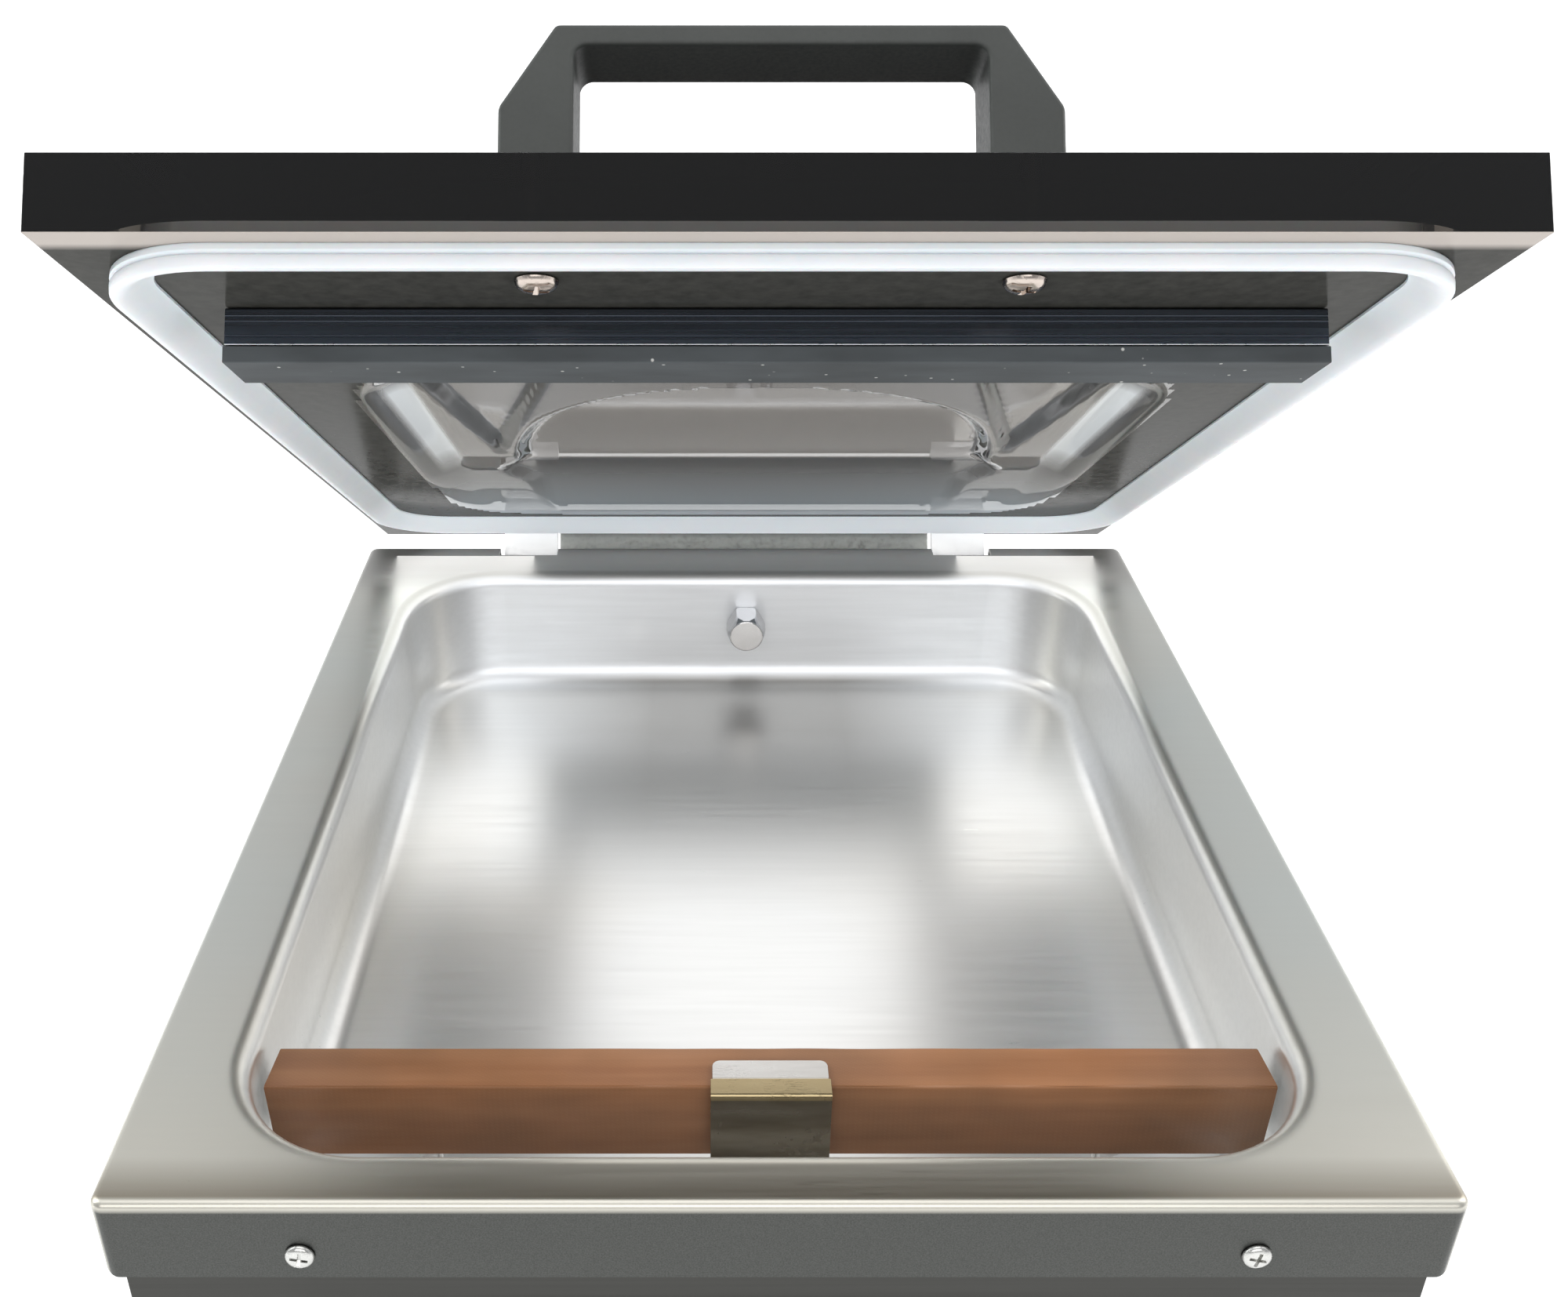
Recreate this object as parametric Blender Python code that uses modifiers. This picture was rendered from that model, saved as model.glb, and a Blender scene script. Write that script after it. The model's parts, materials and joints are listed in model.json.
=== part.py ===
"""Tabletop chamber vacuum sealer, lid open: cabinet, pressed chamber, sprung lid with its
counter bar, lifting seal bar, front controls, and the pump, transformer, valve and board inside.

Metres, +Z up, +Y towards the back. The origin is on the floor, under the middle of the box
around the open machine. Pieces on the lid are placed in the lid's own closed frame, whose
origin is the hinge pin, and an empty on the pin turns that frame to the open angle.
"""

from math import cos, pi, radians, sin, tau

import bmesh
import bpy
from mathutils import Vector

GAP = 0.0003  # between pieces that touch
RUNNING = 0.0005  # between pieces that move past each other

# Lid and hinge, in the closed lid's frame about the hinge pin
LID_OPEN = radians(34.2)
LID_WIDTH = 0.331
LID_DEPTH = 0.395
LID_THICK = 0.018
LID_REAR = 0.0238  # the lid reaches this far behind the pin
LID_FRONT = LID_REAR - LID_DEPTH
PIN_BEHIND_BODY = 0.0042
PIN_BELOW_DECK = 0.0191
LID_CLEARANCE = 0.0064  # closed lid above the deck
LID_UNDER = PIN_BELOW_DECK + LID_CLEARANCE
LID_TOP = LID_UNDER + LID_THICK

# Body
BODY_WIDTH = 0.330
BODY_DEPTH = 0.366
DECK_Z = 0.245
LIP_HEIGHT = 0.025
SHEET = 0.0015
DECK_BEND = 0.0020
DECK_CORNER = 0.0035
OPEN_REACH = LID_REAR * cos(LID_OPEN) + LID_TOP * sin(LID_OPEN)
LIP_SCREW_DOME = 0.0016
SCREW_PROUD = GAP + LIP_SCREW_DOME  # the lip screws stand this far in front of the body
WHOLE_DEPTH = SCREW_PROUD + BODY_DEPTH + PIN_BEHIND_BODY + OPEN_REACH
BODY_FRONT = SCREW_PROUD - WHOLE_DEPTH / 2
BODY_REAR = BODY_FRONT + BODY_DEPTH
PIN_Y = BODY_REAR + PIN_BEHIND_BODY
PIN_Z = DECK_Z - PIN_BELOW_DECK

# Chamber pressed into the deck
CHAMBER_WIDTH = 0.277
CHAMBER_FRONT = BODY_FRONT + 0.018
CHAMBER_REAR = BODY_REAR - 0.029
CHAMBER_DEPTH = 0.050
CHAMBER_CORNER = 0.035
RIM_ROLL = 0.0055
FLOOR_FILLET = 0.009
FLOOR_Z = DECK_Z - CHAMBER_DEPTH
NOZZLE_Z = DECK_Z - 0.022
NOZZLE_HOLE = 0.0044
NOZZLE_HEXAGON = 0.0083
NOZZLE_FACE = 0.0071
NOZZLE_REACH = 0.0133

# Cabinet under the lip
CABINET_HALF = BODY_WIDTH / 2 - 0.004
CABINET_FRONT = BODY_FRONT + 0.0025
CABINET_REAR = BODY_REAR - 0.0045
CABINET_SHEET = 0.0012
FOOT_HEIGHT = 0.010
FOOT_INSET = 0.030
BASE_LOW = FOOT_HEIGHT + GAP
BASE_TOP = BASE_LOW + 0.0016
CABINET_LOW = BASE_TOP + GAP
CABINET_TOP = 0.236
SIDE_VENTS = 5
SIDE_VENT_PITCH = 0.012
REAR_VENTS = 7
REAR_VENT_PITCH = 0.011
REAR_VENT_HALF = 0.060
VENT_HEIGHT = 0.004
INLET_X = 0.115
INLET_Z = 0.045
REAR_LIP_HALF = 0.122  # the lip is cut away this far to each side behind the lid
LIP_SCREW_X = 0.116
LIP_SCREW_Z = DECK_Z - 0.017

# Seal bar
BAR_LENGTH = 0.2735
BAR_FRONT = BODY_FRONT + 0.0504
BAR_DEPTH = 0.0155
BAR_MIDDLE = BAR_FRONT + BAR_DEPTH / 2
BAR_TOP = DECK_Z - 0.0116
BAR_HEIGHT = 0.024
BAR_LOW = BAR_TOP - BAR_HEIGHT
CLOTH = 0.0007
BAND_WIDTH = 0.005
BAND_THICK = 0.0004
LIFT_X = 0.095
LIFT_PIN_RADIUS = 0.003
CLIP_WIDTH = 0.0325
CLIP_SHEET = 0.0007
CLIP_AHEAD = 0.0042
CLIP_DEPTH = 0.0132
CLIP_HEM = 0.0064

# Hinges
STRAP_X = 0.095
STRAP_WIDTH = 0.0234
STRAP_THICK = 0.003
KNUCKLE_RADIUS = 0.0045
PIN_RADIUS = 0.0020
PIN_HOLE = 0.00215
EAR = 0.0028
NOTCH_DEPTH = 0.008
NOTCH_CLEARANCE = 0.0010

# Gasket, hollow and counter bar under the lid, in the lid's frame
GASKET_HEIGHT = 0.0060
GASKET_FRONT = LID_FRONT + 0.0055
GASKET_REAR = LID_FRONT + 0.3575
GASKET_WIDTH = 0.3154
GASKET_BAND = 0.0100
GASKET_CORNER = 0.030
HOLLOW_MIDDLE = LID_FRONT + 0.214
HOLLOW_WIDTH = 0.250
HOLLOW_DEPTH = 0.236
HOLLOW_CORNER = 0.055
COUNTER_WEB = LID_FRONT + 0.0515
COUNTER_REAR = LID_FRONT + 0.0705
COUNTER_LENGTH = 0.2740
COUNTER_DROP = 0.0098
COUNTER_SHEET = 0.0020
PAD_DROP = 0.0144
PAD_PROUD = 0.0003

# Handle on the lid
HANDLE_Y = LID_FRONT + 0.0313
HANDLE_DEPTH = 0.0206
HANDLE_BASE = 0.1315
HANDLE_CREST = 0.105
HANDLE_SHOULDER = 0.0195
HANDLE_HEIGHT = 0.0395
HANDLE_GRIP = 0.0050
HANDLE_LEG = 0.0175
HANDLE_ROUND = 0.0045
HANDLE_SCREW_X = 0.0575
SCREW_RADIUS = 0.0020
SCREW_HOLE = 0.0024

# Front controls
FASCIA_HALF = 0.120
FASCIA_LOW = 0.116
FASCIA_HIGH = 0.206
FASCIA_BACK = CABINET_FRONT - GAP
FASCIA_FACE = FASCIA_BACK - 0.0010
GAUGE_X = -0.082
GAUGE_Z = 0.161
GAUGE_RADIUS = 0.0200
DISPLAY_X = 0.010
DISPLAY_Z = 0.176
KEY_Z = 0.139
KEY_WIDTH = 0.0160
KEY_HEIGHT = 0.0100
KEY_PITCH = 0.0230
KEY_NAMES = ("key_program", "key_minus", "key_plus", "key_stop")
ROCKER_X = 0.092
ROCKER_Z = 0.161
ROCKER_WIDTH = 0.0130
ROCKER_HEIGHT = 0.0210
ROCKER_TILT = radians(7)
ROCKER_REACH = 0.0060

# Inside
PUMP_Y = BODY_FRONT + 0.262
PUMP_Z = 0.064
FAN_X = -0.139
FAN_BLADES = 6
MOTOR_START = -0.115
MOTOR_RADIUS = 0.039

FINISHES = {
    "stainless": ((0.60, 0.59, 0.55), 0.32, 1.0),
    "brushed_cabinet": ((0.50, 0.51, 0.50), 0.38, 1.0),
    "smoked_acrylic": ((0.03, 0.03, 0.028), 0.08, 0.0),
    "white_silicone": ((0.80, 0.84, 0.86), 0.45, 0.0),
    "dark_anodised": ((0.10, 0.11, 0.13), 0.35, 1.0),
    "black_rubber": ((0.06, 0.06, 0.055), 0.80, 0.0),
    "grey_plastic": ((0.10, 0.12, 0.115), 0.55, 0.0),
    "ptfe_cloth": ((0.36, 0.19, 0.11), 0.45, 0.0),
    "aluminium": ((0.72, 0.72, 0.72), 0.35, 1.0),
    "nichrome": ((0.45, 0.43, 0.41), 0.35, 1.0),
    "chrome": ((0.80, 0.80, 0.80), 0.10, 1.0),
    "zinc_steel": ((0.55, 0.55, 0.53), 0.40, 1.0),
    "black_plastic": ((0.04, 0.04, 0.042), 0.50, 0.0),
    "display_glass": ((0.03, 0.02, 0.02), 0.10, 0.0),
    "key_plastic": ((0.30, 0.32, 0.34), 0.50, 0.0),
    "rocker_red": ((0.55, 0.06, 0.05), 0.40, 0.0),
    "dial_white": ((0.85, 0.85, 0.82), 0.50, 0.0),
    "clear_lens": ((0.85, 0.88, 0.90), 0.05, 0.0),
    "cast_grey": ((0.25, 0.27, 0.29), 0.55, 0.0),
    "board_green": ((0.05, 0.22, 0.11), 0.50, 0.0),
    "hose_clear": ((0.70, 0.74, 0.76), 0.35, 0.0),
}


# ---------------------------------------------------------------- scene helpers


def clear_scene():
    for obj in list(bpy.data.objects):
        bpy.data.objects.remove(obj, do_unlink=True)


def make_collection(name):
    collection = bpy.data.collections.new(name)
    bpy.context.scene.collection.children.link(collection)
    return collection


def make_material(name, colour, roughness, metallic):
    material = bpy.data.materials.new(name)
    material.use_nodes = True
    shader = material.node_tree.nodes["Principled BSDF"]
    shader.inputs["Base Color"].default_value = (*colour, 1.0)
    shader.inputs["Roughness"].default_value = roughness
    shader.inputs["Metallic"].default_value = metallic
    return material


clear_scene()
PARTS = make_collection("vacuum_sealer")
CUTTERS = make_collection("cutters")
MATERIALS = {name: make_material(name, *finish) for name, finish in FINISHES.items()}


def add_empty(name, location, rotation=(0, 0, 0)):
    empty = bpy.data.objects.new(name, None)
    empty.location = location
    empty.rotation_euler = rotation
    PARTS.objects.link(empty)
    return empty


def add_object(name, data, finish, location=(0, 0, 0), rotation=(0, 0, 0), parent=None):
    """An object of the model, or a cutter where finish is None."""
    obj = bpy.data.objects.new(name, data)
    obj.location = location
    obj.rotation_euler = rotation
    obj.parent = parent
    if finish is None:
        obj.hide_render = True
        obj.display_type = "WIRE"
        CUTTERS.objects.link(obj)
    else:
        data.materials.append(MATERIALS[finish])
        PARTS.objects.link(obj)
    return obj


def mesh_of(bm, name, smooth=False):
    bmesh.ops.recalc_face_normals(bm, faces=bm.faces)
    mesh = bpy.data.meshes.new(name)
    bm.to_mesh(mesh)
    bm.free()
    if smooth:
        mesh.shade_smooth()
        mesh.set_sharp_from_angle(angle=radians(35))
    return mesh


def add_bevel(obj, width, segments=2):
    bevel = obj.modifiers.new("rounded edges", "BEVEL")
    bevel.width = width
    bevel.segments = segments
    bevel.limit_method = "ANGLE"
    return bevel


def cut(obj, *cutters):
    for cutter in cutters:
        boolean = obj.modifiers.new("cut " + cutter.name, "BOOLEAN")
        boolean.operation = "DIFFERENCE"
        boolean.object = cutter


def join(obj, *additions):
    for addition in additions:
        boolean = obj.modifiers.new("join " + addition.name, "BOOLEAN")
        boolean.operation = "UNION"
        boolean.object = addition


# ---------------------------------------------------------------- shapes


def box(name, low, high, finish, bevel=0.0, parent=None):
    low, high = Vector(low), Vector(high)
    bm = bmesh.new()
    bmesh.ops.create_cube(bm, size=1.0)
    bmesh.ops.scale(bm, vec=high - low, verts=bm.verts)
    obj = add_object(name, mesh_of(bm, name), finish, (low + high) / 2, parent=parent)
    if bevel:
        add_bevel(obj, bevel)
    return obj


AXIS_TURN = {"X": (0, pi / 2, 0), "Y": (-pi / 2, 0, 0), "Z": (0, 0, 0)}


def cylinder(name, radius, start, length, axis, finish, sides=24, parent=None):
    """A cylinder from start along +axis."""
    bm = bmesh.new()
    bmesh.ops.create_cone(
        bm, cap_ends=True, segments=sides, radius1=radius, radius2=radius, depth=length
    )
    bmesh.ops.translate(bm, vec=(0, 0, length / 2), verts=bm.verts)
    mesh = mesh_of(bm, name, smooth=True)
    return add_object(name, mesh, finish, start, AXIS_TURN[axis], parent)


def turned(name, profile, start, axis, finish, steps=24, parent=None):
    """A turned piece. The profile lists (radius, height along axis), from the top down."""
    bm = bmesh.new()
    points = [bm.verts.new((radius, 0, height)) for radius, height in profile]
    for first, second in zip(points, points[1:]):
        bm.edges.new((first, second))
    mesh = bpy.data.meshes.new(name)
    bm.to_mesh(mesh)
    bm.free()
    obj = add_object(name, mesh, finish, start, AXIS_TURN[axis], parent)
    screw = obj.modifiers.new("turn", "SCREW")
    screw.steps = steps
    screw.render_steps = steps
    screw.use_merge_vertices = True
    screw.merge_threshold = 0.00001
    screw.use_smooth_shade = False
    return obj


PLANE_TURN = {"XY": (0, 0, 0), "XZ": (pi / 2, 0, 0), "YZ": (pi / 2, 0, pi / 2)}


def plate(name, outlines, thickness, plane, centre, finish, parent=None):
    """A flat outline with its holes, as thick as thickness about centre, made a welded mesh."""
    curve = bpy.data.curves.new(name, "CURVE")
    curve.dimensions = "2D"
    curve.fill_mode = "BOTH"
    curve.extrude = thickness / 2
    for outline in outlines:
        spline = curve.splines.new("POLY")
        spline.points.add(len(outline) - 1)
        for point, (u, v) in zip(spline.points, outline):
            point.co = (u, v, 0, 1)
        spline.use_cyclic_u = True
    guide = add_object(name + "_outline", curve, None)
    bpy.context.view_layer.update()
    evaluated = guide.evaluated_get(bpy.context.evaluated_depsgraph_get())
    mesh = bpy.data.meshes.new_from_object(evaluated)
    bpy.data.objects.remove(guide, do_unlink=True)
    bm = bmesh.new()
    bm.from_mesh(mesh)
    bmesh.ops.remove_doubles(bm, verts=bm.verts, dist=0.000001)
    bpy.data.meshes.remove(mesh)
    return add_object(name, mesh_of(bm, name), finish, centre, PLANE_TURN[plane], parent)


def tube(name, points, radius, finish, resolution=2, parent=None):
    curve = bpy.data.curves.new(name, "CURVE")
    curve.dimensions = "3D"
    curve.bevel_depth = radius
    curve.bevel_resolution = resolution
    curve.use_fill_caps = True
    spline = curve.splines.new("POLY")
    spline.points.add(len(points) - 1)
    for point, place in zip(spline.points, points):
        point.co = (*place, 1)
    return add_object(name, curve, finish, parent=parent)


def circle(radius, centre=(0, 0), sides=16, turn=0.0):
    angles = [tau * i / sides + turn for i in range(sides)]
    return [(centre[0] + radius * cos(a), centre[1] + radius * sin(a)) for a in angles]


def rectangle(low, high):
    return [(low[0], low[1]), (high[0], low[1]), (high[0], high[1]), (low[0], high[1])]


def rounded(width, depth, radius, middle=(0, 0), steps=6):
    """Points round a rectangle with round corners, steps + 1 to a corner."""
    points = []
    for quarter, (side, end) in enumerate(((1, 1), (-1, 1), (-1, -1), (1, -1))):
        x = middle[0] + side * (width / 2 - radius)
        y = middle[1] + end * (depth / 2 - radius)
        for step in range(steps + 1):
            angle = pi / 2 * (quarter + step / steps)
            points.append((x + radius * cos(angle), y + radius * sin(angle)))
    return points


def loft(rings, ends=(True, True), loop=False):
    """Skins between rings with equal numbers of points. It returns a bmesh."""
    bm = bmesh.new()
    rows = [[bm.verts.new(point) for point in ring] for ring in rings]
    pairs = list(zip(rows, rows[1:]))
    if loop:
        pairs.append((rows[-1], rows[0]))
    for lower, upper in pairs:
        for i in range(len(lower)):
            j = (i + 1) % len(lower)
            bm.faces.new((lower[i], lower[j], upper[j], upper[i]))
    if ends[0] and not loop:
        bm.faces.new(rows[0])
    if ends[1] and not loop:
        bm.faces.new(rows[-1])
    return bm


def ring_at(outline, z):
    return [(x, y, z) for x, y in outline]


# ---------------------------------------------------------------- chamber and deck


def chamber_surface():
    """The upper surface: lip, bend, deck, rolled rim, wall, fillet and floor, as rings."""
    deck_middle = (0, (BODY_FRONT + BODY_REAR) / 2)
    pit_middle = (0, (CHAMBER_FRONT + CHAMBER_REAR) / 2)
    pit_depth = CHAMBER_REAR - CHAMBER_FRONT
    quarter = (0, pi / 6, pi / 3, pi / 2)
    rings = []
    lip = [(0, LIP_HEIGHT), (0, DECK_BEND), (0.3 * DECK_BEND, 0.3 * DECK_BEND), (DECK_BEND, 0)]
    for inset, drop in lip:
        width, depth = BODY_WIDTH - 2 * inset, BODY_DEPTH - 2 * inset
        rings.append(ring_at(rounded(width, depth, DECK_CORNER - inset, deck_middle), DECK_Z - drop))
    for angle in quarter:
        spread = RIM_ROLL * (1 - sin(angle))
        width, depth = CHAMBER_WIDTH + 2 * spread, pit_depth + 2 * spread
        outline = rounded(width, depth, CHAMBER_CORNER + spread, pit_middle)
        rings.append(ring_at(outline, DECK_Z - RIM_ROLL * (1 - cos(angle))))
    for angle in quarter:
        inset = FLOOR_FILLET * (1 - cos(angle))
        width, depth = CHAMBER_WIDTH - 2 * inset, pit_depth - 2 * inset
        outline = rounded(width, depth, CHAMBER_CORNER - inset, pit_middle)
        rings.append(ring_at(outline, FLOOR_Z + FLOOR_FILLET * (1 - sin(angle))))
    return rings


def make_chamber_tub():
    mesh = mesh_of(loft(chamber_surface(), ends=(False, True)), "chamber_tub", smooth=True)
    tub = add_object("chamber_tub", mesh, "stainless")
    shell = tub.modifiers.new("sheet", "SOLIDIFY")
    shell.thickness = SHEET
    shell.offset = -1
    shell.use_even_offset = True
    for side, x in (("left", -STRAP_X), ("right", STRAP_X)):
        half = STRAP_WIDTH / 2 + NOTCH_CLEARANCE
        low = (x - half, BODY_REAR - NOTCH_DEPTH, DECK_Z - 0.030)
        cut(tub, box("cut_notch_" + side, low, (x + half, BODY_REAR + 0.010, DECK_Z + 0.010), None))
    low = (-REAR_LIP_HALF, BODY_REAR - 0.004, DECK_Z - 0.030)
    cut(tub, box("cut_rear_lip", low, (REAR_LIP_HALF, BODY_REAR + 0.010, DECK_Z - 0.005), None))
    for side, x in (("left", -LIP_SCREW_X), ("right", LIP_SCREW_X)):
        start = (x, BODY_FRONT - 0.005, LIP_SCREW_Z)
        cut(tub, cylinder("cut_lip_screw_" + side, SCREW_HOLE, start, 0.010, "Y", None, 12))
    for side, x in (("left", -LIFT_X), ("right", LIFT_X)):
        start = (x, BAR_MIDDLE, FLOOR_Z - 0.010)
        cut(tub, cylinder("cut_lift_pin_" + side, LIFT_PIN_RADIUS + RUNNING, start, 0.020, "Z", None, 16))
    start = (0, CHAMBER_REAR - 0.005, NOZZLE_Z)
    cut(tub, cylinder("cut_nozzle", NOZZLE_HOLE, start, 0.012, "Y", None, 16))
    return tub


def cross_recess(name, centre, along, across, parent=None):
    """Two crossed slots as one cutter. along and across are a slot's half sizes."""
    centre, along, across = Vector(centre), Vector(along), Vector(across)
    slot = box(name, centre - along, centre + along, None, parent=parent)
    join(slot, box(name + "_cross", centre - across, centre + across, None, parent=parent))
    return slot


def make_lip_screw(side, x):
    """A domed cross-head screw through the lip into the cabinet's front."""
    face = BODY_FRONT - GAP
    head, shank, length = 0.0037, 0.0018, 0.0075
    reach, width, depth = 0.0023, 0.0005, 0.0014
    profile = [(0, length), (shank, length), (shank, 0), (head, 0), (0.0035, -0.0007)]
    profile += [(0.0028, -0.0012), (0.0016, -0.0015), (0, -LIP_SCREW_DOME)]
    name = "lip_screw_" + side
    screw = turned(name, profile, (x, face, LIP_SCREW_Z), "Y", "zinc_steel", 16)
    centre = (x, face - LIP_SCREW_DOME, LIP_SCREW_Z)
    cut(screw, cross_recess("cut_" + name, centre, (reach, depth, width), (width, depth, reach)))


def make_nozzle():
    """The hexagon-headed suction port on the chamber's rear wall, with its nut behind."""
    wall = CHAMBER_REAR
    stem = cylinder("vacuum_nozzle", 0.0040, (0, wall - 0.004, NOZZLE_Z), 0.0120, "Y", "chrome", 16)
    start = (0, wall - NOZZLE_REACH + 0.0015, NOZZLE_Z)
    hexagon = cylinder("nozzle_hexagon", NOZZLE_HEXAGON, start, 0.0115, "Y", None, 6)
    profile = [(0, 0.003), (NOZZLE_FACE, 0.003), (NOZZLE_FACE, 0.0004), (NOZZLE_FACE - 0.0004, 0), (0, 0)]
    face = turned("nozzle_face", profile, (0, wall - NOZZLE_REACH, NOZZLE_Z), "Y", None, 24)
    join(stem, hexagon, face)
    nut_outline = [circle(0.0085, sides=6), circle(0.0043)]
    centre = (0, wall + SHEET + GAP + 0.0020, NOZZLE_Z)
    plate("nozzle_nut", nut_outline, 0.0036, "XZ", centre, "zinc_steel")


# ---------------------------------------------------------------- cabinet


def make_cabinet():
    """Front and sides folded from one sheet, open at the back."""
    out, sheet = CABINET_HALF, CABINET_SHEET
    front, rear = CABINET_FRONT, CABINET_REAR - CABINET_SHEET - GAP
    outline = [(-out, front), (out, front), (out, rear), (out - sheet, rear)]
    outline += [(out - sheet, front + sheet), (-out + sheet, front + sheet)]
    outline += [(-out + sheet, rear), (-out, rear)]
    height = CABINET_TOP - CABINET_LOW
    centre = (0, 0, (CABINET_TOP + CABINET_LOW) / 2)
    cabinet = plate("cabinet_wrap", [outline], height, "XY", centre, "brushed_cabinet")
    for side, x in (("left", -LIP_SCREW_X), ("right", LIP_SCREW_X)):
        start = (x, front - 0.004, LIP_SCREW_Z)
        cut(cabinet, cylinder("cut_wrap_screw_" + side, SCREW_HOLE, start, 0.010, "Y", None, 12))
    cut(cabinet, *control_holes("wrap", front - 0.004))
    for side in (-1, 1):
        for i in range(SIDE_VENTS):
            z = 0.050 + SIDE_VENT_PITCH * i
            x = side * out
            name = f"cut_side_vent_{'left' if side < 0 else 'right'}_{i + 1}"
            low = (x - 0.004, BODY_FRONT + 0.205, z)
            cut(cabinet, box(name, low, (x + 0.004, BODY_FRONT + 0.275, z + VENT_HEIGHT), None))


def control_holes(prefix, start_y):
    """Cutters for the gauge, the keys and the rocker through a front sheet."""
    start = (GAUGE_X, start_y, GAUGE_Z)
    holes = [cylinder(f"cut_{prefix}_gauge", GAUGE_RADIUS + GAP, start, 0.010, "Y", None, 32)]
    for name, x in key_places():
        half_width = KEY_WIDTH / 2 + RUNNING
        half_height = KEY_HEIGHT / 2 + RUNNING
        low = (x - half_width, start_y, KEY_Z - half_height)
        high = (x + half_width, start_y + 0.010, KEY_Z + half_height)
        holes.append(box(f"cut_{prefix}_{name}", low, high, None))
    half_width = ROCKER_WIDTH / 2 + 0.0016
    half_height = ROCKER_HEIGHT / 2 + 0.0020
    low = (ROCKER_X - half_width, start_y, ROCKER_Z - half_height)
    high = (ROCKER_X + half_width, start_y + 0.010, ROCKER_Z + half_height)
    holes.append(box(f"cut_{prefix}_rocker", low, high, None))
    return holes


def key_places():
    first = DISPLAY_X - KEY_PITCH * (len(KEY_NAMES) - 1) / 2
    return [(name, first + KEY_PITCH * i) for i, name in enumerate(KEY_NAMES)]


def make_rear_panel():
    low = (-CABINET_HALF, CABINET_REAR - CABINET_SHEET, CABINET_LOW)
    panel = box("rear_panel", low, (CABINET_HALF, CABINET_REAR, CABINET_TOP), "brushed_cabinet")
    for i in range(REAR_VENTS):
        z = 0.060 + REAR_VENT_PITCH * i
        low = (-REAR_VENT_HALF, CABINET_REAR - 0.005, z)
        high = (REAR_VENT_HALF, CABINET_REAR + 0.005, z + VENT_HEIGHT)
        cut(panel, box(f"cut_rear_vent_{i + 1}", low, high, None))
    low, high = inlet_box(0.0145, 0.0105, -0.005 - GAP, 0.005)
    cut(panel, box("cut_inlet", low, high, None))


def inlet_box(half_width, half_height, start, end, shift=(0, 0)):
    """Corners of a box about the inlet. start and end are measured outwards from its flange."""
    x, z = INLET_X + shift[0], INLET_Z + shift[1]
    face = CABINET_REAR + GAP
    return (x - half_width, face + start, z - half_height), (x + half_width, face + end, z + half_height)


def make_power_inlet():
    """Three-pin appliance inlet in the rear panel: flange outside, body inside, open socket."""
    inlet = box("power_inlet", *inlet_box(0.0200, 0.0160, 0, 0.0022), "black_plastic", 0.0006)
    join(inlet, box("inlet_body", *inlet_box(0.0140, 0.0100, -0.0200, 0.0010), None))
    cut(inlet, box("cut_inlet_socket", *inlet_box(0.0110, 0.0075, -0.0170, 0.0100), None))
    pins = {"live": (-0.006, -0.002), "neutral": (0.006, -0.002), "earth": (0, 0.003)}
    for name, shift in pins.items():
        join(inlet, box("inlet_pin_" + name, *inlet_box(0.0010, 0.0020, -0.0180, -0.0050, shift), None))


def make_base():
    low = (-CABINET_HALF, CABINET_FRONT, BASE_LOW)
    box("base_plate", low, (CABINET_HALF, CABINET_REAR, BASE_TOP), "zinc_steel")
    foot_profile = [(0, FOOT_HEIGHT), (0.0120, FOOT_HEIGHT), (0.0130, 0.0080)]
    foot_profile += [(0.0110, 0.0008), (0.0102, 0), (0, 0)]
    front = CABINET_FRONT + FOOT_INSET
    rear = CABINET_REAR - FOOT_INSET
    side = CABINET_HALF - FOOT_INSET
    places = {
        "foot_front_left": (-side, front),
        "foot_front_right": (side, front),
        "foot_rear_left": (-side, rear),
        "foot_rear_right": (side, rear),
    }
    for name, (x, y) in places.items():
        turned(name, foot_profile, (x, y, 0), "Z", "black_rubber", 20)


# ---------------------------------------------------------------- front controls


def make_fascia():
    low = (-FASCIA_HALF, FASCIA_FACE, FASCIA_LOW)
    fascia = box("control_panel", low, (FASCIA_HALF, FASCIA_BACK, FASCIA_HIGH), "black_plastic")
    cut(fascia, *control_holes("fascia", FASCIA_FACE - 0.004))
    low = (DISPLAY_X - 0.036, FASCIA_FACE - GAP - 0.0005, DISPLAY_Z - 0.013)
    high = (DISPLAY_X + 0.036, FASCIA_FACE - GAP, DISPLAY_Z + 0.013)
    box("display_window", low, high, "display_glass")


def make_keys():
    """Four push keys. Each slides back into the panel."""
    for name, x in key_places():
        axis = add_empty(name + "_slide", (x, FASCIA_FACE, KEY_Z))
        low = (-KEY_WIDTH / 2, -0.0009, -KEY_HEIGHT / 2)
        box(name, low, (KEY_WIDTH / 2, 0.0040, KEY_HEIGHT / 2), "key_plastic", 0.0003, axis)


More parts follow.
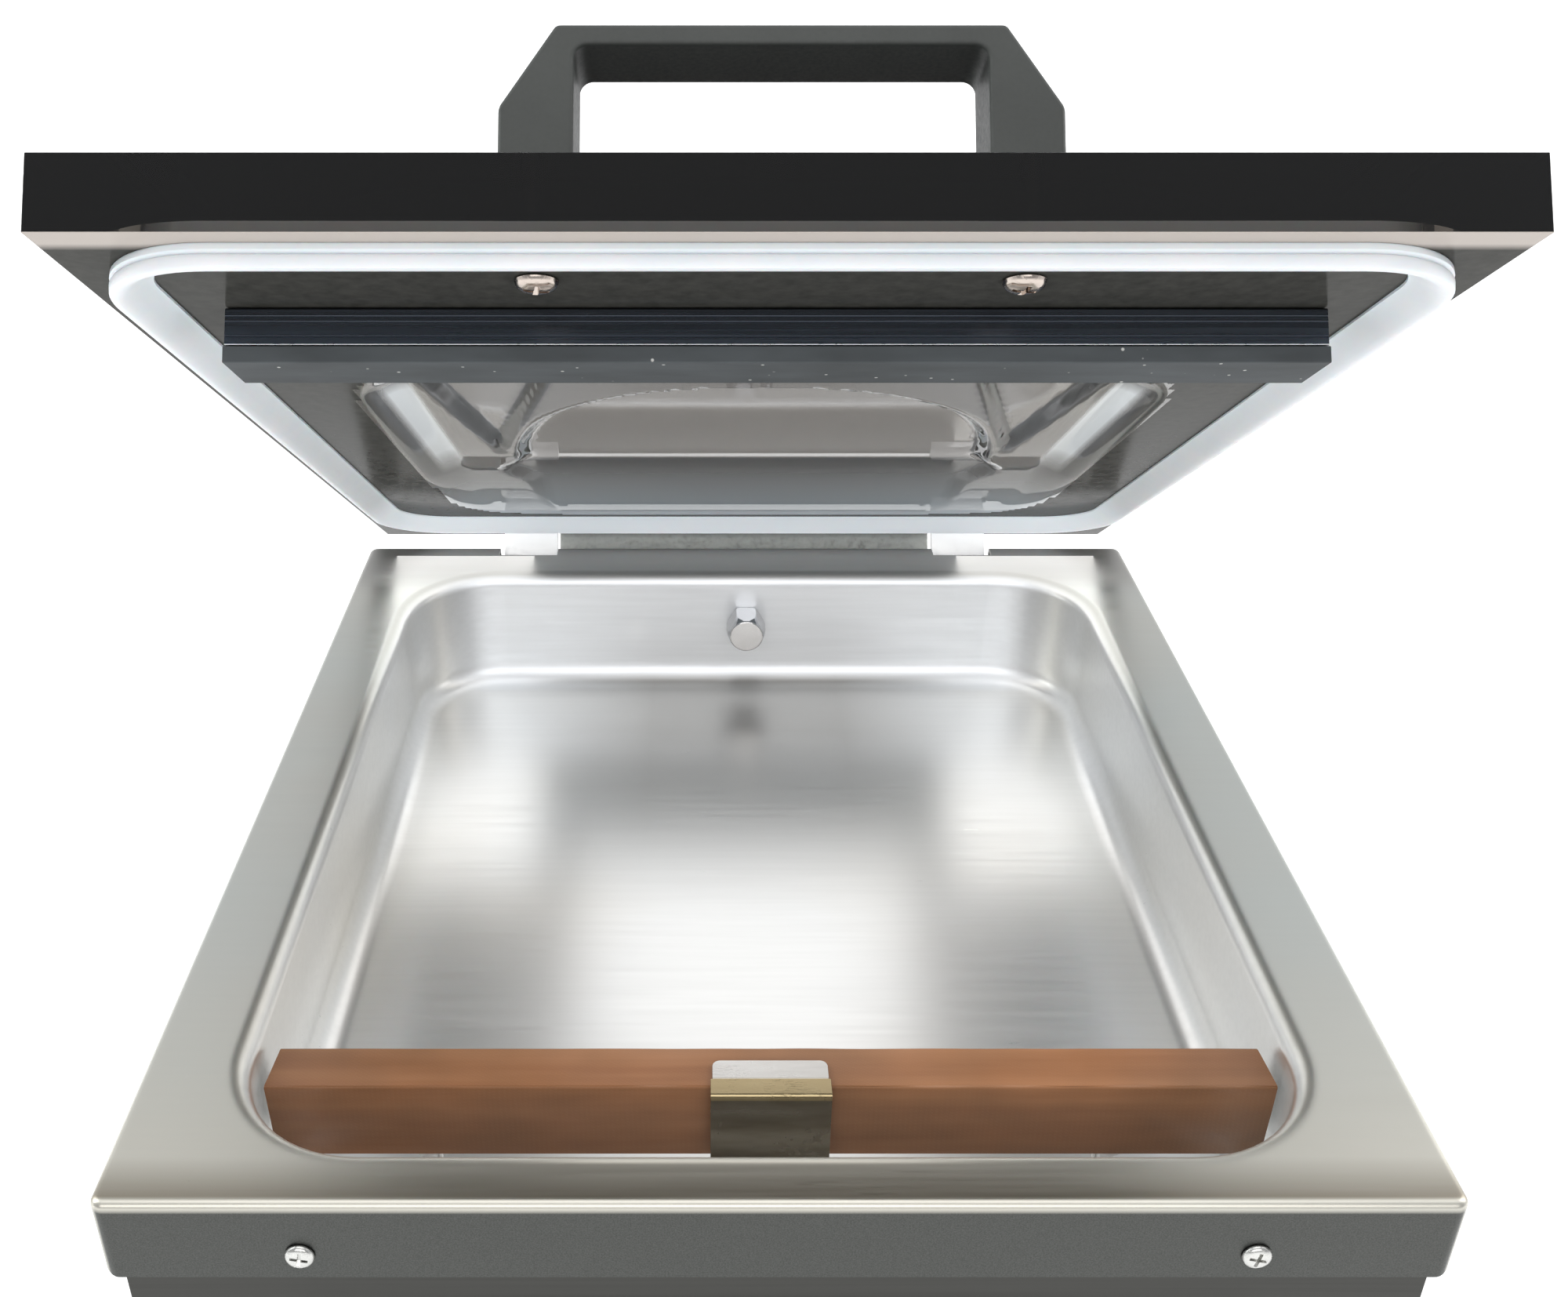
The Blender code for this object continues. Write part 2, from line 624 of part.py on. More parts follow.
def make_rocker():
    """The mains rocker: a V-faced paddle that tips about a cross axis, in a frame."""
    pivot_y = FASCIA_FACE + ROCKER_REACH
    pivot = add_empty("power_rocker_pivot", (ROCKER_X, pivot_y, ROCKER_Z), (ROCKER_TILT, 0, 0))
    half = ROCKER_HEIGHT / 2
    face, rim = -ROCKER_REACH, -ROCKER_REACH - 0.6 * half * sin(ROCKER_TILT)
    outline = [(face, 0), (rim, -half), (face + 0.0035, -half - 0.0002), (0.0045, -0.0040)]
    outline += [(0.0045, 0.0040), (face + 0.0035, half + 0.0002), (rim, half)]
    plate("power_rocker", [outline], ROCKER_WIDTH, "YZ", (0, 0, 0), "rocker_red", pivot)
    width = ROCKER_WIDTH / 2
    inner = rectangle((-width - 0.0008, -half - 0.0012), (width + 0.0008, half + 0.0012))
    outer = rectangle((-width - 0.0032, -half - 0.0036), (width + 0.0032, half + 0.0036))
    centre = (ROCKER_X, FASCIA_FACE - GAP - 0.0003, ROCKER_Z)
    plate("rocker_frame", [outer, inner], 0.0006, "XZ", centre, "black_plastic")


def make_gauge():
    """Vacuum gauge: a cup with a bezel, a dial at its bottom, a needle and a lens."""
    face = FASCIA_FACE - GAP
    bezel = GAUGE_RADIUS + 0.003
    profile = [(0, 0.0220), (GAUGE_RADIUS, 0.0220), (GAUGE_RADIUS, 0), (bezel, 0), (bezel, -0.0007)]
    profile += [(GAUGE_RADIUS - 0.0012, -0.0007), (GAUGE_RADIUS - 0.0012, 0.0036), (0, 0.0036)]
    turned("gauge_case", profile, (GAUGE_X, face, GAUGE_Z), "Y", "dial_white", 32)
    lens_radius = GAUGE_RADIUS - 0.0012 - GAP
    cylinder("gauge_lens", lens_radius, (GAUGE_X, face - 0.0006, GAUGE_Z), 0.0009, "Y", "clear_lens", 32)
    axis = add_empty("gauge_needle_axis", (GAUGE_X, face + 0.0020, GAUGE_Z), (0, radians(-135), 0))
    outline = [(-0.0012, -0.0040), (0.0012, -0.0040), (0.0018, 0)]
    outline += [(0.0004, 0.0145), (-0.0004, 0.0145), (-0.0018, 0)]
    plate("gauge_needle", [outline], 0.0008, "XZ", (0, 0, 0), "black_plastic", axis)


# ---------------------------------------------------------------- seal bar


def make_seal_bar():
    """Core, heating band and cloth cover on two lift pins that run through the chamber floor."""
    lift = add_empty("seal_bar_lift", (0, BAR_MIDDLE, BAR_TOP))
    half, back = BAR_LENGTH / 2, BAR_DEPTH / 2
    inner = back - CLOTH - GAP
    core_top = -CLOTH - GAP - BAND_THICK - GAP
    core_half = half - 0.0015
    low = (-core_half, -inner, -BAR_HEIGHT)
    box("seal_bar_core", low, (core_half, inner, core_top), "aluminium", 0, lift)
    low = (-core_half, -BAND_WIDTH / 2, core_top + GAP)
    high = (core_half, BAND_WIDTH / 2, core_top + GAP + BAND_THICK)
    box("heating_band", low, high, "nichrome", 0, lift)
    skirt = -BAR_HEIGHT + 0.0012
    edge = 0.0008
    outline = [(-back, skirt), (-back, -edge), (-back + edge, 0), (back - edge, 0), (back, -edge)]
    outline += [(back, skirt), (back - CLOTH, skirt), (back - CLOTH, -CLOTH)]
    outline += [(-back + CLOTH, -CLOTH), (-back + CLOTH, skirt)]
    plate("ptfe_cover", [outline], BAR_LENGTH, "YZ", (0, 0, 0), "ptfe_cloth", lift)
    for side, x in (("left", -LIFT_X), ("right", LIFT_X)):
        foot = FLOOR_Z - 0.022 - BAR_TOP
        profile = [(0, -BAR_HEIGHT - GAP), (0.0060, -BAR_HEIGHT - GAP), (0.0060, -BAR_HEIGHT - 0.0040)]
        profile += [(LIFT_PIN_RADIUS, -BAR_HEIGHT - 0.0040), (LIFT_PIN_RADIUS, foot), (0, foot)]
        turned("lift_pin_" + side, profile, (x, 0, 0), "Z", "chrome", 16, lift)


def make_lift_cylinders():
    """The two bellows cylinders under the chamber floor that raise the seal bar."""
    top = FLOOR_Z - SHEET - GAP
    for side, x in (("left", -LIFT_X), ("right", LIFT_X)):
        bore = LIFT_PIN_RADIUS + RUNNING
        profile = [(0, -0.0240), (bore, -0.0240), (bore, 0), (0.0110, 0), (0.0130, -0.0030)]
        profile += [(0.0130, -0.0300), (0.0060, -0.0320), (0.0060, -0.0380), (0, -0.0380)]
        turned("lift_cylinder_" + side, profile, (x, BAR_MIDDLE, top), "Z", "cast_grey", 16)


def make_bag_clip():
    """Sprung sheet clip: a plate up the bar's front, bent back over its top edge."""
    pivot_z = BAR_LOW - 0.0010
    pivot = add_empty("bag_clip_pivot", (0, BAR_FRONT - CLIP_AHEAD, pivot_z))
    rise = BAR_TOP + GAP - pivot_z
    sheet = CLIP_SHEET
    hem = sheet + 0.0005
    outline = [(0, 0), (sheet, 0), (sheet, rise), (CLIP_DEPTH, rise), (CLIP_DEPTH, rise + sheet)]
    outline += [(CLIP_HEM, rise + sheet), (CLIP_HEM, rise + hem), (0.0002, rise + hem)]
    outline += [(-0.0004, rise + hem - 0.0004), (-0.0004, rise - 0.0002), (0, rise - 0.0004)]
    plate("bag_clip", [outline], CLIP_WIDTH, "YZ", (0, 0, 0), "zinc_steel", pivot)


# ---------------------------------------------------------------- lid


def make_lid_panel(lid):
    """Thick smoked panel with a shallow domed hollow under it, behind the counter bar."""
    low = (-LID_WIDTH / 2, LID_FRONT, LID_UNDER)
    panel = box("lid_panel", low, (LID_WIDTH / 2, LID_REAR, LID_TOP), "smoked_acrylic", 0.0007, lid)
    middle = (0, HOLLOW_MIDDLE)
    rings = []
    for inset, depth in ((0, -0.0040), (0, 0), (0.006, 0.0030), (0.018, 0.0055), (0.040, 0.0070)):
        width, length = HOLLOW_WIDTH - 2 * inset, HOLLOW_DEPTH - 2 * inset
        outline = rounded(width, length, HOLLOW_CORNER - inset / 2, middle)
        rings.append(ring_at(outline, LID_UNDER + depth))
    hollow = add_object("cut_lid_hollow", mesh_of(loft(rings), "cut_lid_hollow"), None, parent=lid)
    cut(panel, hollow)
    for side, x in (("left", -HANDLE_SCREW_X), ("right", HANDLE_SCREW_X)):
        start = (x, HANDLE_Y, LID_UNDER - 0.005)
        cut(panel, cylinder("cut_lid_screw_" + side, SCREW_HOLE, start, 0.030, "Z", None, 16, lid))


def make_gasket(lid):
    """White silicone ring: an upright outer wall with a groove, sloping inwards to its root."""
    middle = (0, (GASKET_FRONT + GASKET_REAR) / 2)
    depth = GASKET_REAR - GASKET_FRONT
    top = LID_UNDER - GAP
    tip = LID_UNDER - GASKET_HEIGHT
    section = [(0, top), (0, top - 0.0016), (0.0009, top - 0.0021), (0, top - 0.0027), (0.0002, tip)]
    section += [(0.0024, tip), (0.0035, tip + 0.0006), (GASKET_BAND, top - 0.0008), (GASKET_BAND, top)]
    rings = []
    for inset, z in section:
        outline = rounded(GASKET_WIDTH - 2 * inset, depth - 2 * inset, GASKET_CORNER - inset, middle)
        rings.append(ring_at(outline, z))
    mesh = mesh_of(loft(rings, loop=True), "lid_gasket", smooth=True)
    add_object("lid_gasket", mesh, "white_silicone", parent=lid)


def make_counter_bar(lid):
    """Channel under the lid, open to the back, and the rubber that the seal bar presses on."""
    top = LID_UNDER - GAP
    foot = LID_UNDER - COUNTER_DROP
    web, back = COUNTER_WEB, COUNTER_WEB + COUNTER_SHEET
    outline = [(web, top), (web, foot), (COUNTER_REAR, foot), (COUNTER_REAR, foot + COUNTER_SHEET)]
    outline += [(back, foot + COUNTER_SHEET), (back, top - COUNTER_SHEET)]
    outline += [(COUNTER_REAR, top - COUNTER_SHEET), (COUNTER_REAR, top)]
    plate("counter_bar_holder", [outline], COUNTER_LENGTH, "YZ", (0, 0, 0), "dark_anodised", lid)
    half = COUNTER_LENGTH / 2 + PAD_PROUD
    low = (-half, web - 2 * PAD_PROUD, LID_UNDER - PAD_DROP)
    high = (half, COUNTER_REAR, foot - GAP)
    box("counter_bar_rubber", low, high, "black_rubber", 0, lid)


def handle_outline():
    """Outer and inner outlines of the handle's face, with round inner corners."""
    base, crest = HANDLE_BASE / 2, HANDLE_CREST / 2
    inner = base - HANDLE_LEG
    top = HANDLE_HEIGHT - HANDLE_GRIP
    radius = HANDLE_ROUND
    points = [(inner, 0), (base, 0), (base, HANDLE_SHOULDER), (crest, HANDLE_HEIGHT)]
    points += [(-crest, HANDLE_HEIGHT), (-base, HANDLE_SHOULDER), (-base, 0), (-inner, 0)]
    for middle_x, first in ((-inner + radius, pi), (inner - radius, pi / 2)):
        for step in range(5):
            angle = first - pi / 2 * step / 4
            points.append((middle_x + radius * cos(angle), top - radius + radius * sin(angle)))
    return points


def make_handle(lid):
    centre = (0, HANDLE_Y, LID_TOP + GAP)
    handle = plate("handle", [handle_outline()], HANDLE_DEPTH, "XZ", centre, "grey_plastic", lid)
    add_bevel(handle, 0.0005, 1)
    for side, x in (("left", -HANDLE_SCREW_X), ("right", HANDLE_SCREW_X)):
        start = (x, HANDLE_Y, LID_TOP - 0.004)
        cut(handle, cylinder("cut_handle_screw_" + side, SCREW_HOLE, start, 0.0165, "Z", None, 16, lid))


def make_handle_screw(side, x, lid):
    """Domed cross-head screw up through the lid into the handle."""
    name = "handle_screw_" + side
    under = LID_UNDER - GAP
    top = LID_TOP + 0.0115 - under
    shank = SCREW_RADIUS
    profile = [(0, top), (shank, top), (shank, 0), (0.0053, 0), (0.0051, -0.0010), (0.0040, -0.0020)]
    profile += [(0.0022, -0.0026), (0, -0.0028)]
    screw = turned(name, profile, (x, HANDLE_Y, under), "Z", "chrome", 20, lid)
    reach, width, depth = 0.0030, 0.0006, 0.0022
    centre = (x, HANDLE_Y, under - 0.0038)
    cut(screw, cross_recess("cut_" + name, centre, (reach, width, depth), (width, reach, depth), lid))


def make_hinge_strap(side, x, lid):
    """A leaf under the lid with a leg down to the knuckle on the hinge pin."""
    top = LID_UNDER - GAP
    thick = STRAP_THICK
    front = -0.0085
    outline = [(LID_REAR - 0.006, top), (front, top), (front, 0.0040)]
    start, end = radians(200), radians(440)
    for step in range(13):
        angle = start + (end - start) * step / 12
        outline.append((KNUCKLE_RADIUS * cos(angle), KNUCKLE_RADIUS * sin(angle)))
    outline += [(front + thick, 0.0075), (front + thick, top - thick), (LID_REAR - 0.006, top - thick)]
    hole = circle(PIN_HOLE, sides=16)
    plate("hinge_strap_" + side, [outline, hole], STRAP_WIDTH, "YZ", (x, 0, 0), "chrome", lid)


def make_hinge_bridge(lid):
    """Stiffening strip under the lid's rear edge, between the two straps."""
    half = STRAP_X - STRAP_WIDTH / 2 - RUNNING
    low = (-half, 0.0005, LID_UNDER - GAP - 0.0120)
    box("hinge_bridge", low, (half, 0.0035, LID_UNDER - GAP), "dark_anodised", 0, lid)


# ---------------------------------------------------------------- hinge parts on the body


def make_hinge_bracket(side, x):
    """U bracket on the rear panel, its two ears either side of the strap's knuckle."""
    gap = STRAP_WIDTH / 2 + RUNNING
    wide = gap + EAR
    back = CABINET_REAR + GAP
    low = (x - wide, back, PIN_Z - 0.034)
    bracket = box("hinge_bracket_" + side, low, (x + wide, PIN_Y + 0.0060, PIN_Z + 0.0055), "zinc_steel")
    low = (x - gap, back + 0.0020, PIN_Z - 0.050)
    slot = box("cut_bracket_slot_" + side, low, (x + gap, PIN_Y + 0.010, PIN_Z + 0.010), None)
    low = (x - gap, back - 0.010, PIN_Z - 0.0075)
    window = box("cut_bracket_window_" + side, low, (x + gap, PIN_Y + 0.012, PIN_Z + 0.012), None)
    start = (x - wide - 0.005, PIN_Y, PIN_Z)
    bore = cylinder("cut_bracket_bore_" + side, PIN_HOLE, start, 2 * wide + 0.010, "X", None, 16)
    cut(bracket, slot, window, bore)


def make_hinge_pin(side, x):
    """Pin with a head outside the outer ear, long enough inward to carry the spring."""
    wide = STRAP_WIDTH / 2 + RUNNING + EAR
    inner = -0.0160 - wide
    profile = [(0, wide + 0.0018), (0.0034, wide + 0.0018), (0.0034, wide + GAP)]
    profile += [(PIN_RADIUS, wide + GAP), (PIN_RADIUS, inner), (0, inner)]
    pin = turned("hinge_pin_" + side, profile, (x, PIN_Y, PIN_Z), "X", "zinc_steel", 16)
    if x < 0:
        pin.rotation_euler = (0, -pi / 2, 0)


def make_lid_spring(side, x):
    """Torsion spring round the pin, inside the inner ear, that swings the lid open."""
    inward = -1 if x > 0 else 1
    start = abs(x) - STRAP_WIDTH / 2 - RUNNING - EAR - 0.0018
    wire, turns, radius, sides = 0.0007, 5, 0.0038, 10
    pitch = 0.0022
    points = [(inward * -start, PIN_Y - radius, PIN_Z - 0.0150)]
    for step in range(turns * sides + 1):
        angle = pi - tau * step / sides
        offset = start - pitch * step / sides
        points.append((inward * -offset, PIN_Y + radius * cos(angle), PIN_Z + radius * sin(angle)))
    tube("lid_spring_" + side, points, wire, "zinc_steel", 1)


# ---------------------------------------------------------------- inside the cabinet


def make_pump():
    """Oil-less vacuum pump: cradle, motor, head with fins, and a cooling fan on the shaft."""
    y, z = PUMP_Y, PUMP_Z
    cradle_low = (-0.112, y - 0.036, BASE_TOP + GAP)
    box("pump_cradle", cradle_low, (0.052, y + 0.036, z - 0.0392), "zinc_steel", 0.0008)
    motor_profile = [(0, 0.092), (0.030, 0.092), (MOTOR_RADIUS, 0.086), (MOTOR_RADIUS, 0.008), (0.030, 0)]
    motor_profile += [(0.0040, 0), (0.0040, -0.018), (0, -0.018)]
    turned("pump_motor", motor_profile, (MOTOR_START, y, z + 0.0002), "X", "cast_grey", 24)
    head_low = (-0.0225, y - 0.034, z - 0.0388)
    head = box("pump_head", head_low, (0.046, y + 0.034, z + 0.034), "aluminium", 0.001)
    for i in range(4):
        low = (-0.012 + 0.0145 * i, y - 0.040, z + 0.010)
        cut(head, box(f"cut_fin_{i + 1}", low, (low[0] + 0.006, y + 0.040, z + 0.040), None))
    port = cylinder("pump_port", 0.0050, (0.035, y, z + 0.030), 0.018, "Z", None, 16)
    join(head, port)


def make_pump_fan():
    """Six-bladed fan on the motor shaft."""
    axis = add_empty("pump_fan_axis", (FAN_X, PUMP_Y, PUMP_Z + 0.0002))
    hub_outline = [circle(0.0100, sides=18), circle(0.0044, sides=12)]
    fan = plate("pump_fan", hub_outline, 0.0090, "YZ", (0, 0, 0), "black_plastic", axis)
    for i in range(FAN_BLADES):
        bm = bmesh.new()
        bmesh.ops.create_cube(bm, size=1.0)
        bmesh.ops.scale(bm, vec=(0.0012, 0.0105, 0.0240), verts=bm.verts)
        blade = add_object(f"fan_blade_{i + 1}", mesh_of(bm, "fan_blade"), None, parent=axis)
        angle = tau * i / FAN_BLADES
        blade.location = (0, -0.0205 * sin(angle), 0.0205 * cos(angle))
        blade.rotation_euler = (angle, 0, 0)
        join(fan, blade)


def make_electrics():
    """Transformer, solenoid valve, control board and the lid sensor."""
    floor = BASE_TOP + GAP
    front = BODY_FRONT
    low = (0.050, front + 0.060, floor)
    core = box("transformer", low, (0.130, front + 0.118, floor + 0.066), "cast_grey", 0.001)
    low = (0.066, front + 0.048, floor + 0.012)
    join(core, box("transformer_coil", low, (0.114, front + 0.130, floor + 0.054), None))
    low = (0.080, front + 0.240, floor)
    valve = box("solenoid_valve", low, (0.108, front + 0.268, floor + 0.030), "aluminium", 0.0008)
    join(valve, cylinder("valve_coil", 0.0120, (0.094, front + 0.254, floor + 0.028), 0.034, "Z", None, 20))
    low = (-0.085, front + 0.0300, 0.100)
    board = box("control_board", low, (0.075, front + 0.0316, 0.182), "board_green")
    blocks = ((-0.070, 0.110, 0.030, 0.024), (-0.025, 0.115, 0.018, 0.018), (0.020, 0.140, 0.040, 0.030))
    for i, (x, z, wide, tall) in enumerate(blocks):
        low = (x, front + 0.0310, z)
        join(board, box(f"board_block_{i + 1}", low, (x + wide, front + 0.0450, z + tall), None))
    low = (0.1445, BODY_REAR - 0.048, DECK_Z - SHEET - GAP - 0.012)
    box("lid_sensor", low, (0.1560, BODY_REAR - 0.020, DECK_Z - SHEET - GAP), "black_plastic", 0.0006)


def make_vacuum_hose():
    """Hose from the nozzle behind the chamber down to the port on the pump head."""
    start_y = CHAMBER_REAR + 0.0080 + GAP
    top = PUMP_Z + 0.048 + 3 * GAP
    start, end = Vector((0, start_y, NOZZLE_Z)), Vector((0.035, PUMP_Y, top))
    route = [Vector((0, start_y + 0.003, NOZZLE_Z)), Vector((0.002, start_y + 0.008, NOZZLE_Z - 0.006))]
    route += [Vector((0.010, start_y + 0.008, 0.185)), Vector((0.035, start_y - 0.004, 0.155))]
    route += [Vector((0.035, PUMP_Y, 0.150)), Vector((0.035, PUMP_Y, top + 0.008))]
    points = [start]
    for i in range(len(route) - 1):
        before = route[max(i - 1, 0)]
        first, second = route[i], route[i + 1]
        after = route[min(i + 2, len(route) - 1)]
        for step in range(5):
            t = step / 5
            along = first * (2 * t**3 - 3 * t**2 + 1) + second * (3 * t**2 - 2 * t**3)
            along += (second - before) * 0.25 * (t**3 - 2 * t**2 + t)
            along += (after - first) * 0.25 * (t**3 - t**2)
            points.append(along)
    points += [route[-1], end]
    tube("vacuum_hose", points, 0.0040, "hose_clear", 2)


# ---------------------------------------------------------------- the whole machine


def make_lid():
    lid = add_empty("lid_pivot", (0, PIN_Y, PIN_Z), (-LID_OPEN, 0, 0))
    make_lid_panel(lid)
    make_gasket(lid)
    make_counter_bar(lid)
    make_handle(lid)
    make_hinge_bridge(lid)
    for side, sign in (("left", -1), ("right", 1)):
        make_handle_screw(side, sign * HANDLE_SCREW_X, lid)
        make_hinge_strap(side, sign * STRAP_X, lid)


def make_body():
    make_chamber_tub()
    make_nozzle()
    make_cabinet()
    make_rear_panel()
    make_power_inlet()
    make_base()
    for side, sign in (("left", -1), ("right", 1)):
        make_lip_screw(side, sign * LIP_SCREW_X)
        make_hinge_bracket(side, sign * STRAP_X)
        make_hinge_pin(side, sign * STRAP_X)
        make_lid_spring(side, sign * STRAP_X)
    make_fascia()
    make_keys()
    make_rocker()
    make_gauge()
    make_lift_cylinders()
    make_pump()
    make_pump_fan()
    make_electrics()
    make_vacuum_hose()


make_body()
make_seal_bar()
make_bag_clip()
make_lid()
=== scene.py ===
"""Looks for the chamber vacuum sealer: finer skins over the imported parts, and every material.

Metres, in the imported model's frame. Pieces on the lid are built in the closed lid's own frame,
whose origin is the hinge pin, and the matrix LID lays that frame at the open angle.
"""

import json
from math import cos, exp, hypot, pi, radians, sin, sqrt, tau

import bmesh
import bpy
from mathutils import Matrix, Vector, noise


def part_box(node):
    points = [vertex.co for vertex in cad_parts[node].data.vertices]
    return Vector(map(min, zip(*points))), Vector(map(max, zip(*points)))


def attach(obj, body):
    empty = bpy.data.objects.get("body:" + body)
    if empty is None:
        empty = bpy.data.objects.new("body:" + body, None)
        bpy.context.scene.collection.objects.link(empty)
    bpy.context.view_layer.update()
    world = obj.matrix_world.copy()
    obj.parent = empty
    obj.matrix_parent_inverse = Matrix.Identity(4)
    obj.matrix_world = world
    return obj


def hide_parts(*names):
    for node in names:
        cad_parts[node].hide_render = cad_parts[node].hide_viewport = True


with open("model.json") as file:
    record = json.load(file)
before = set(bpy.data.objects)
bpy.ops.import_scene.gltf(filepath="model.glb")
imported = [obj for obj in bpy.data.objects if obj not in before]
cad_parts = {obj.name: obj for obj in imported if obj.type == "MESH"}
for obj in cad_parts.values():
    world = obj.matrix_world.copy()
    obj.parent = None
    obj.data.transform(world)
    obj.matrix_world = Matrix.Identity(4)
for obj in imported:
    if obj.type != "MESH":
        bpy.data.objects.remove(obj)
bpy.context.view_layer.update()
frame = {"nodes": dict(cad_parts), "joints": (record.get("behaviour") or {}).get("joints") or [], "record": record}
NODES = frame["nodes"]

AIR = 0.00005  # between a new piece and its neighbour
SMOOTH_ANGLE = radians(35)
RANGE_SOCKETS = ("From Min", "From Max", "To Min", "To Max")


def local_box(node, matrix=None):
    """Lowest and highest corner of a CAD node in the frame of matrix."""
    inverse = (matrix or Matrix()).inverted()
    points = [inverse @ vertex.co for vertex in NODES[node].data.vertices]
    low = Vector(min(point[axis] for point in points) for axis in range(3))
    high = Vector(max(point[axis] for point in points) for axis in range(3))
    return low, high


HINGE = next(joint for joint in frame["joints"] if joint["name"] == "lid_hinge")
PIN = Vector(HINGE["pos_m"])
LID_OPEN = radians(HINGE["range_deg"][1])
LID = Matrix.Translation(PIN) @ Matrix.Rotation(-LID_OPEN, 4, "X")

TUB_LOW, TUB_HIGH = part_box("chamber_tub")
DECK_Z = TUB_HIGH.z
BODY_FRONT, BODY_REAR = TUB_LOW.y, TUB_HIGH.y
BODY_WIDTH = TUB_HIGH.x - TUB_LOW.x
LIP_LOW = DECK_Z - 0.025
SHEET = 0.0015
CHAMBER_WIDTH = 0.277
CHAMBER_FRONT = BODY_FRONT + 0.018
CHAMBER_REAR = BODY_REAR - 0.029
CHAMBER_CORNER = 0.035
FLOOR_Z = DECK_Z - 0.050

LID_LOW, LID_HIGH = local_box("lid_panel", LID)
LID_UNDER, LID_TOP = LID_LOW.z, LID_HIGH.z
LID_FRONT = LID_LOW.y


# ---------------------------------------------------------------- mesh helpers


def circle(radius, centre=(0, 0), sides=48):
    angles = [tau * i / sides for i in range(sides)]
    return [(centre[0] + radius * cos(a), centre[1] + radius * sin(a)) for a in angles]


def rounded(width, depth, radius, middle=(0, 0), steps=14, margins=()):
    """Points round a rectangle with round corners, with more at each margin from a corner."""
    points = []
    for quarter, (side, end) in enumerate(((1, 1), (-1, 1), (-1, -1), (1, -1))):
        x = middle[0] + side * (width / 2 - radius)
        y = middle[1] + end * (depth / 2 - radius)
        for margin in margins:
            shift = Vector((0, -end * margin)) if quarter % 2 == 0 else Vector((-side * margin, 0))
            angle = pi / 2 * quarter
            points.append((x + radius * cos(angle) + shift.x, y + radius * sin(angle) + shift.y))
        for step in range(steps + 1):
            angle = pi / 2 * (quarter + step / steps)
            points.append((x + radius * cos(angle), y + radius * sin(angle)))
        for margin in reversed(margins):
            shift = Vector((-side * margin, 0)) if quarter % 2 == 0 else Vector((0, -end * margin))
            angle = pi / 2 * (quarter + 1)
            points.append((x + radius * cos(angle) + shift.x, y + radius * sin(angle) + shift.y))
    return points


def ring_at(outline, z):
    return [(x, y, z) for x, y in outline]


def loft(rings, ends=(True, True), loop=False):
    """Skins between rings with equal numbers of points."""
    bm = bmesh.new()
    rows = [[bm.verts.new(point) for point in ring] for ring in rings]
    pairs = list(zip(rows, rows[1:]))
    if loop:
        pairs.append((rows[-1], rows[0]))
    for lower, upper in pairs:
        for i in range(len(lower)):
            j = (i + 1) % len(lower)
            bm.faces.new((lower[i], lower[j], upper[j], upper[i]))
    if ends[0] and not loop:
        bm.faces.new(rows[0])
    if ends[1] and not loop:
        bm.faces.new(rows[-1])
    return bm


def turned(profile, steps=48):
    """A turned shape about Z, closed. The profile lists (radius, height) with no zero radius."""
    return loft([ring_at(circle(radius, sides=steps), height) for radius, height in profile])


def prism(outline, thickness):
    """A closed outline in XY, as thick as thickness about Z 0."""
    return loft([ring_at(outline, -thickness / 2), ring_at(outline, thickness / 2)])


def block(low, high):
    """A box between two corners."""
    low, high = Vector(low), Vector(high)
    bm = bmesh.new()
    bmesh.ops.create_cube(bm, size=1.0)
    bmesh.ops.scale(bm, vec=high - low, verts=bm.verts)
    bmesh.ops.translate(bm, vec=(low + high) / 2, verts=bm.verts)
    return bm


def moved(bm, matrix):
    bmesh.ops.transform(bm, matrix=matrix, verts=bm.verts)
    return bm


def object_of(bm, name, matrix=None):
    bmesh.ops.recalc_face_normals(bm, faces=bm.faces)
    mesh = bpy.data.meshes.new(name)
    bm.to_mesh(mesh)
    bm.free()
    obj = bpy.data.objects.new(name, mesh)
    obj.matrix_world = matrix or Matrix()
    bpy.context.scene.collection.objects.link(obj)
    return obj


def apply_modifiers(obj):
    bpy.context.view_layer.update()
    evaluated = obj.evaluated_get(bpy.context.evaluated_depsgraph_get())
    mesh = bpy.data.meshes.new_from_object(evaluated)
    obj.modifiers.clear()
    obj.data = mesh


def carve(obj, bm, operation="DIFFERENCE"):
    """Applies a Boolean with a shape built in obj's own frame."""
    cutter = object_of(bm, "cutter", obj.matrix_world.copy())
    modifier = obj.modifiers.new("carve", "BOOLEAN")
    modifier.operation = operation
    modifier.object = cutter
    apply_modifiers(obj)
    bpy.data.objects.remove(cutter, do_unlink=True)


def round_edges(obj, width, segments=3, angle=radians(30)):
    bevel = obj.modifiers.new("rounded edges", "BEVEL")
    bevel.width = width
    bevel.segments = segments
    bevel.limit_method = "ANGLE"
    bevel.angle_limit = angle
    apply_modifiers(obj)


def shade(obj):
    """Smooth shading that keeps flat faces flat."""
    obj.data.shade_smooth()
    obj.data.set_sharp_from_angle(angle=SMOOTH_ANGLE)
    weighted = obj.modifiers.new("flat faces stay flat", "WEIGHTED_NORMAL")
    weighted.keep_sharp = True


def install(obj, material, body, slot, *replaced):
    """Gives a finished piece its material, and hands it to its body."""
    obj.data.materials.clear()
    obj.data.materials.append(material)
    shade(obj)
    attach(obj, body)
    if replaced:
        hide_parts(*replaced)
    return obj


# ---------------------------------------------------------------- material helpers


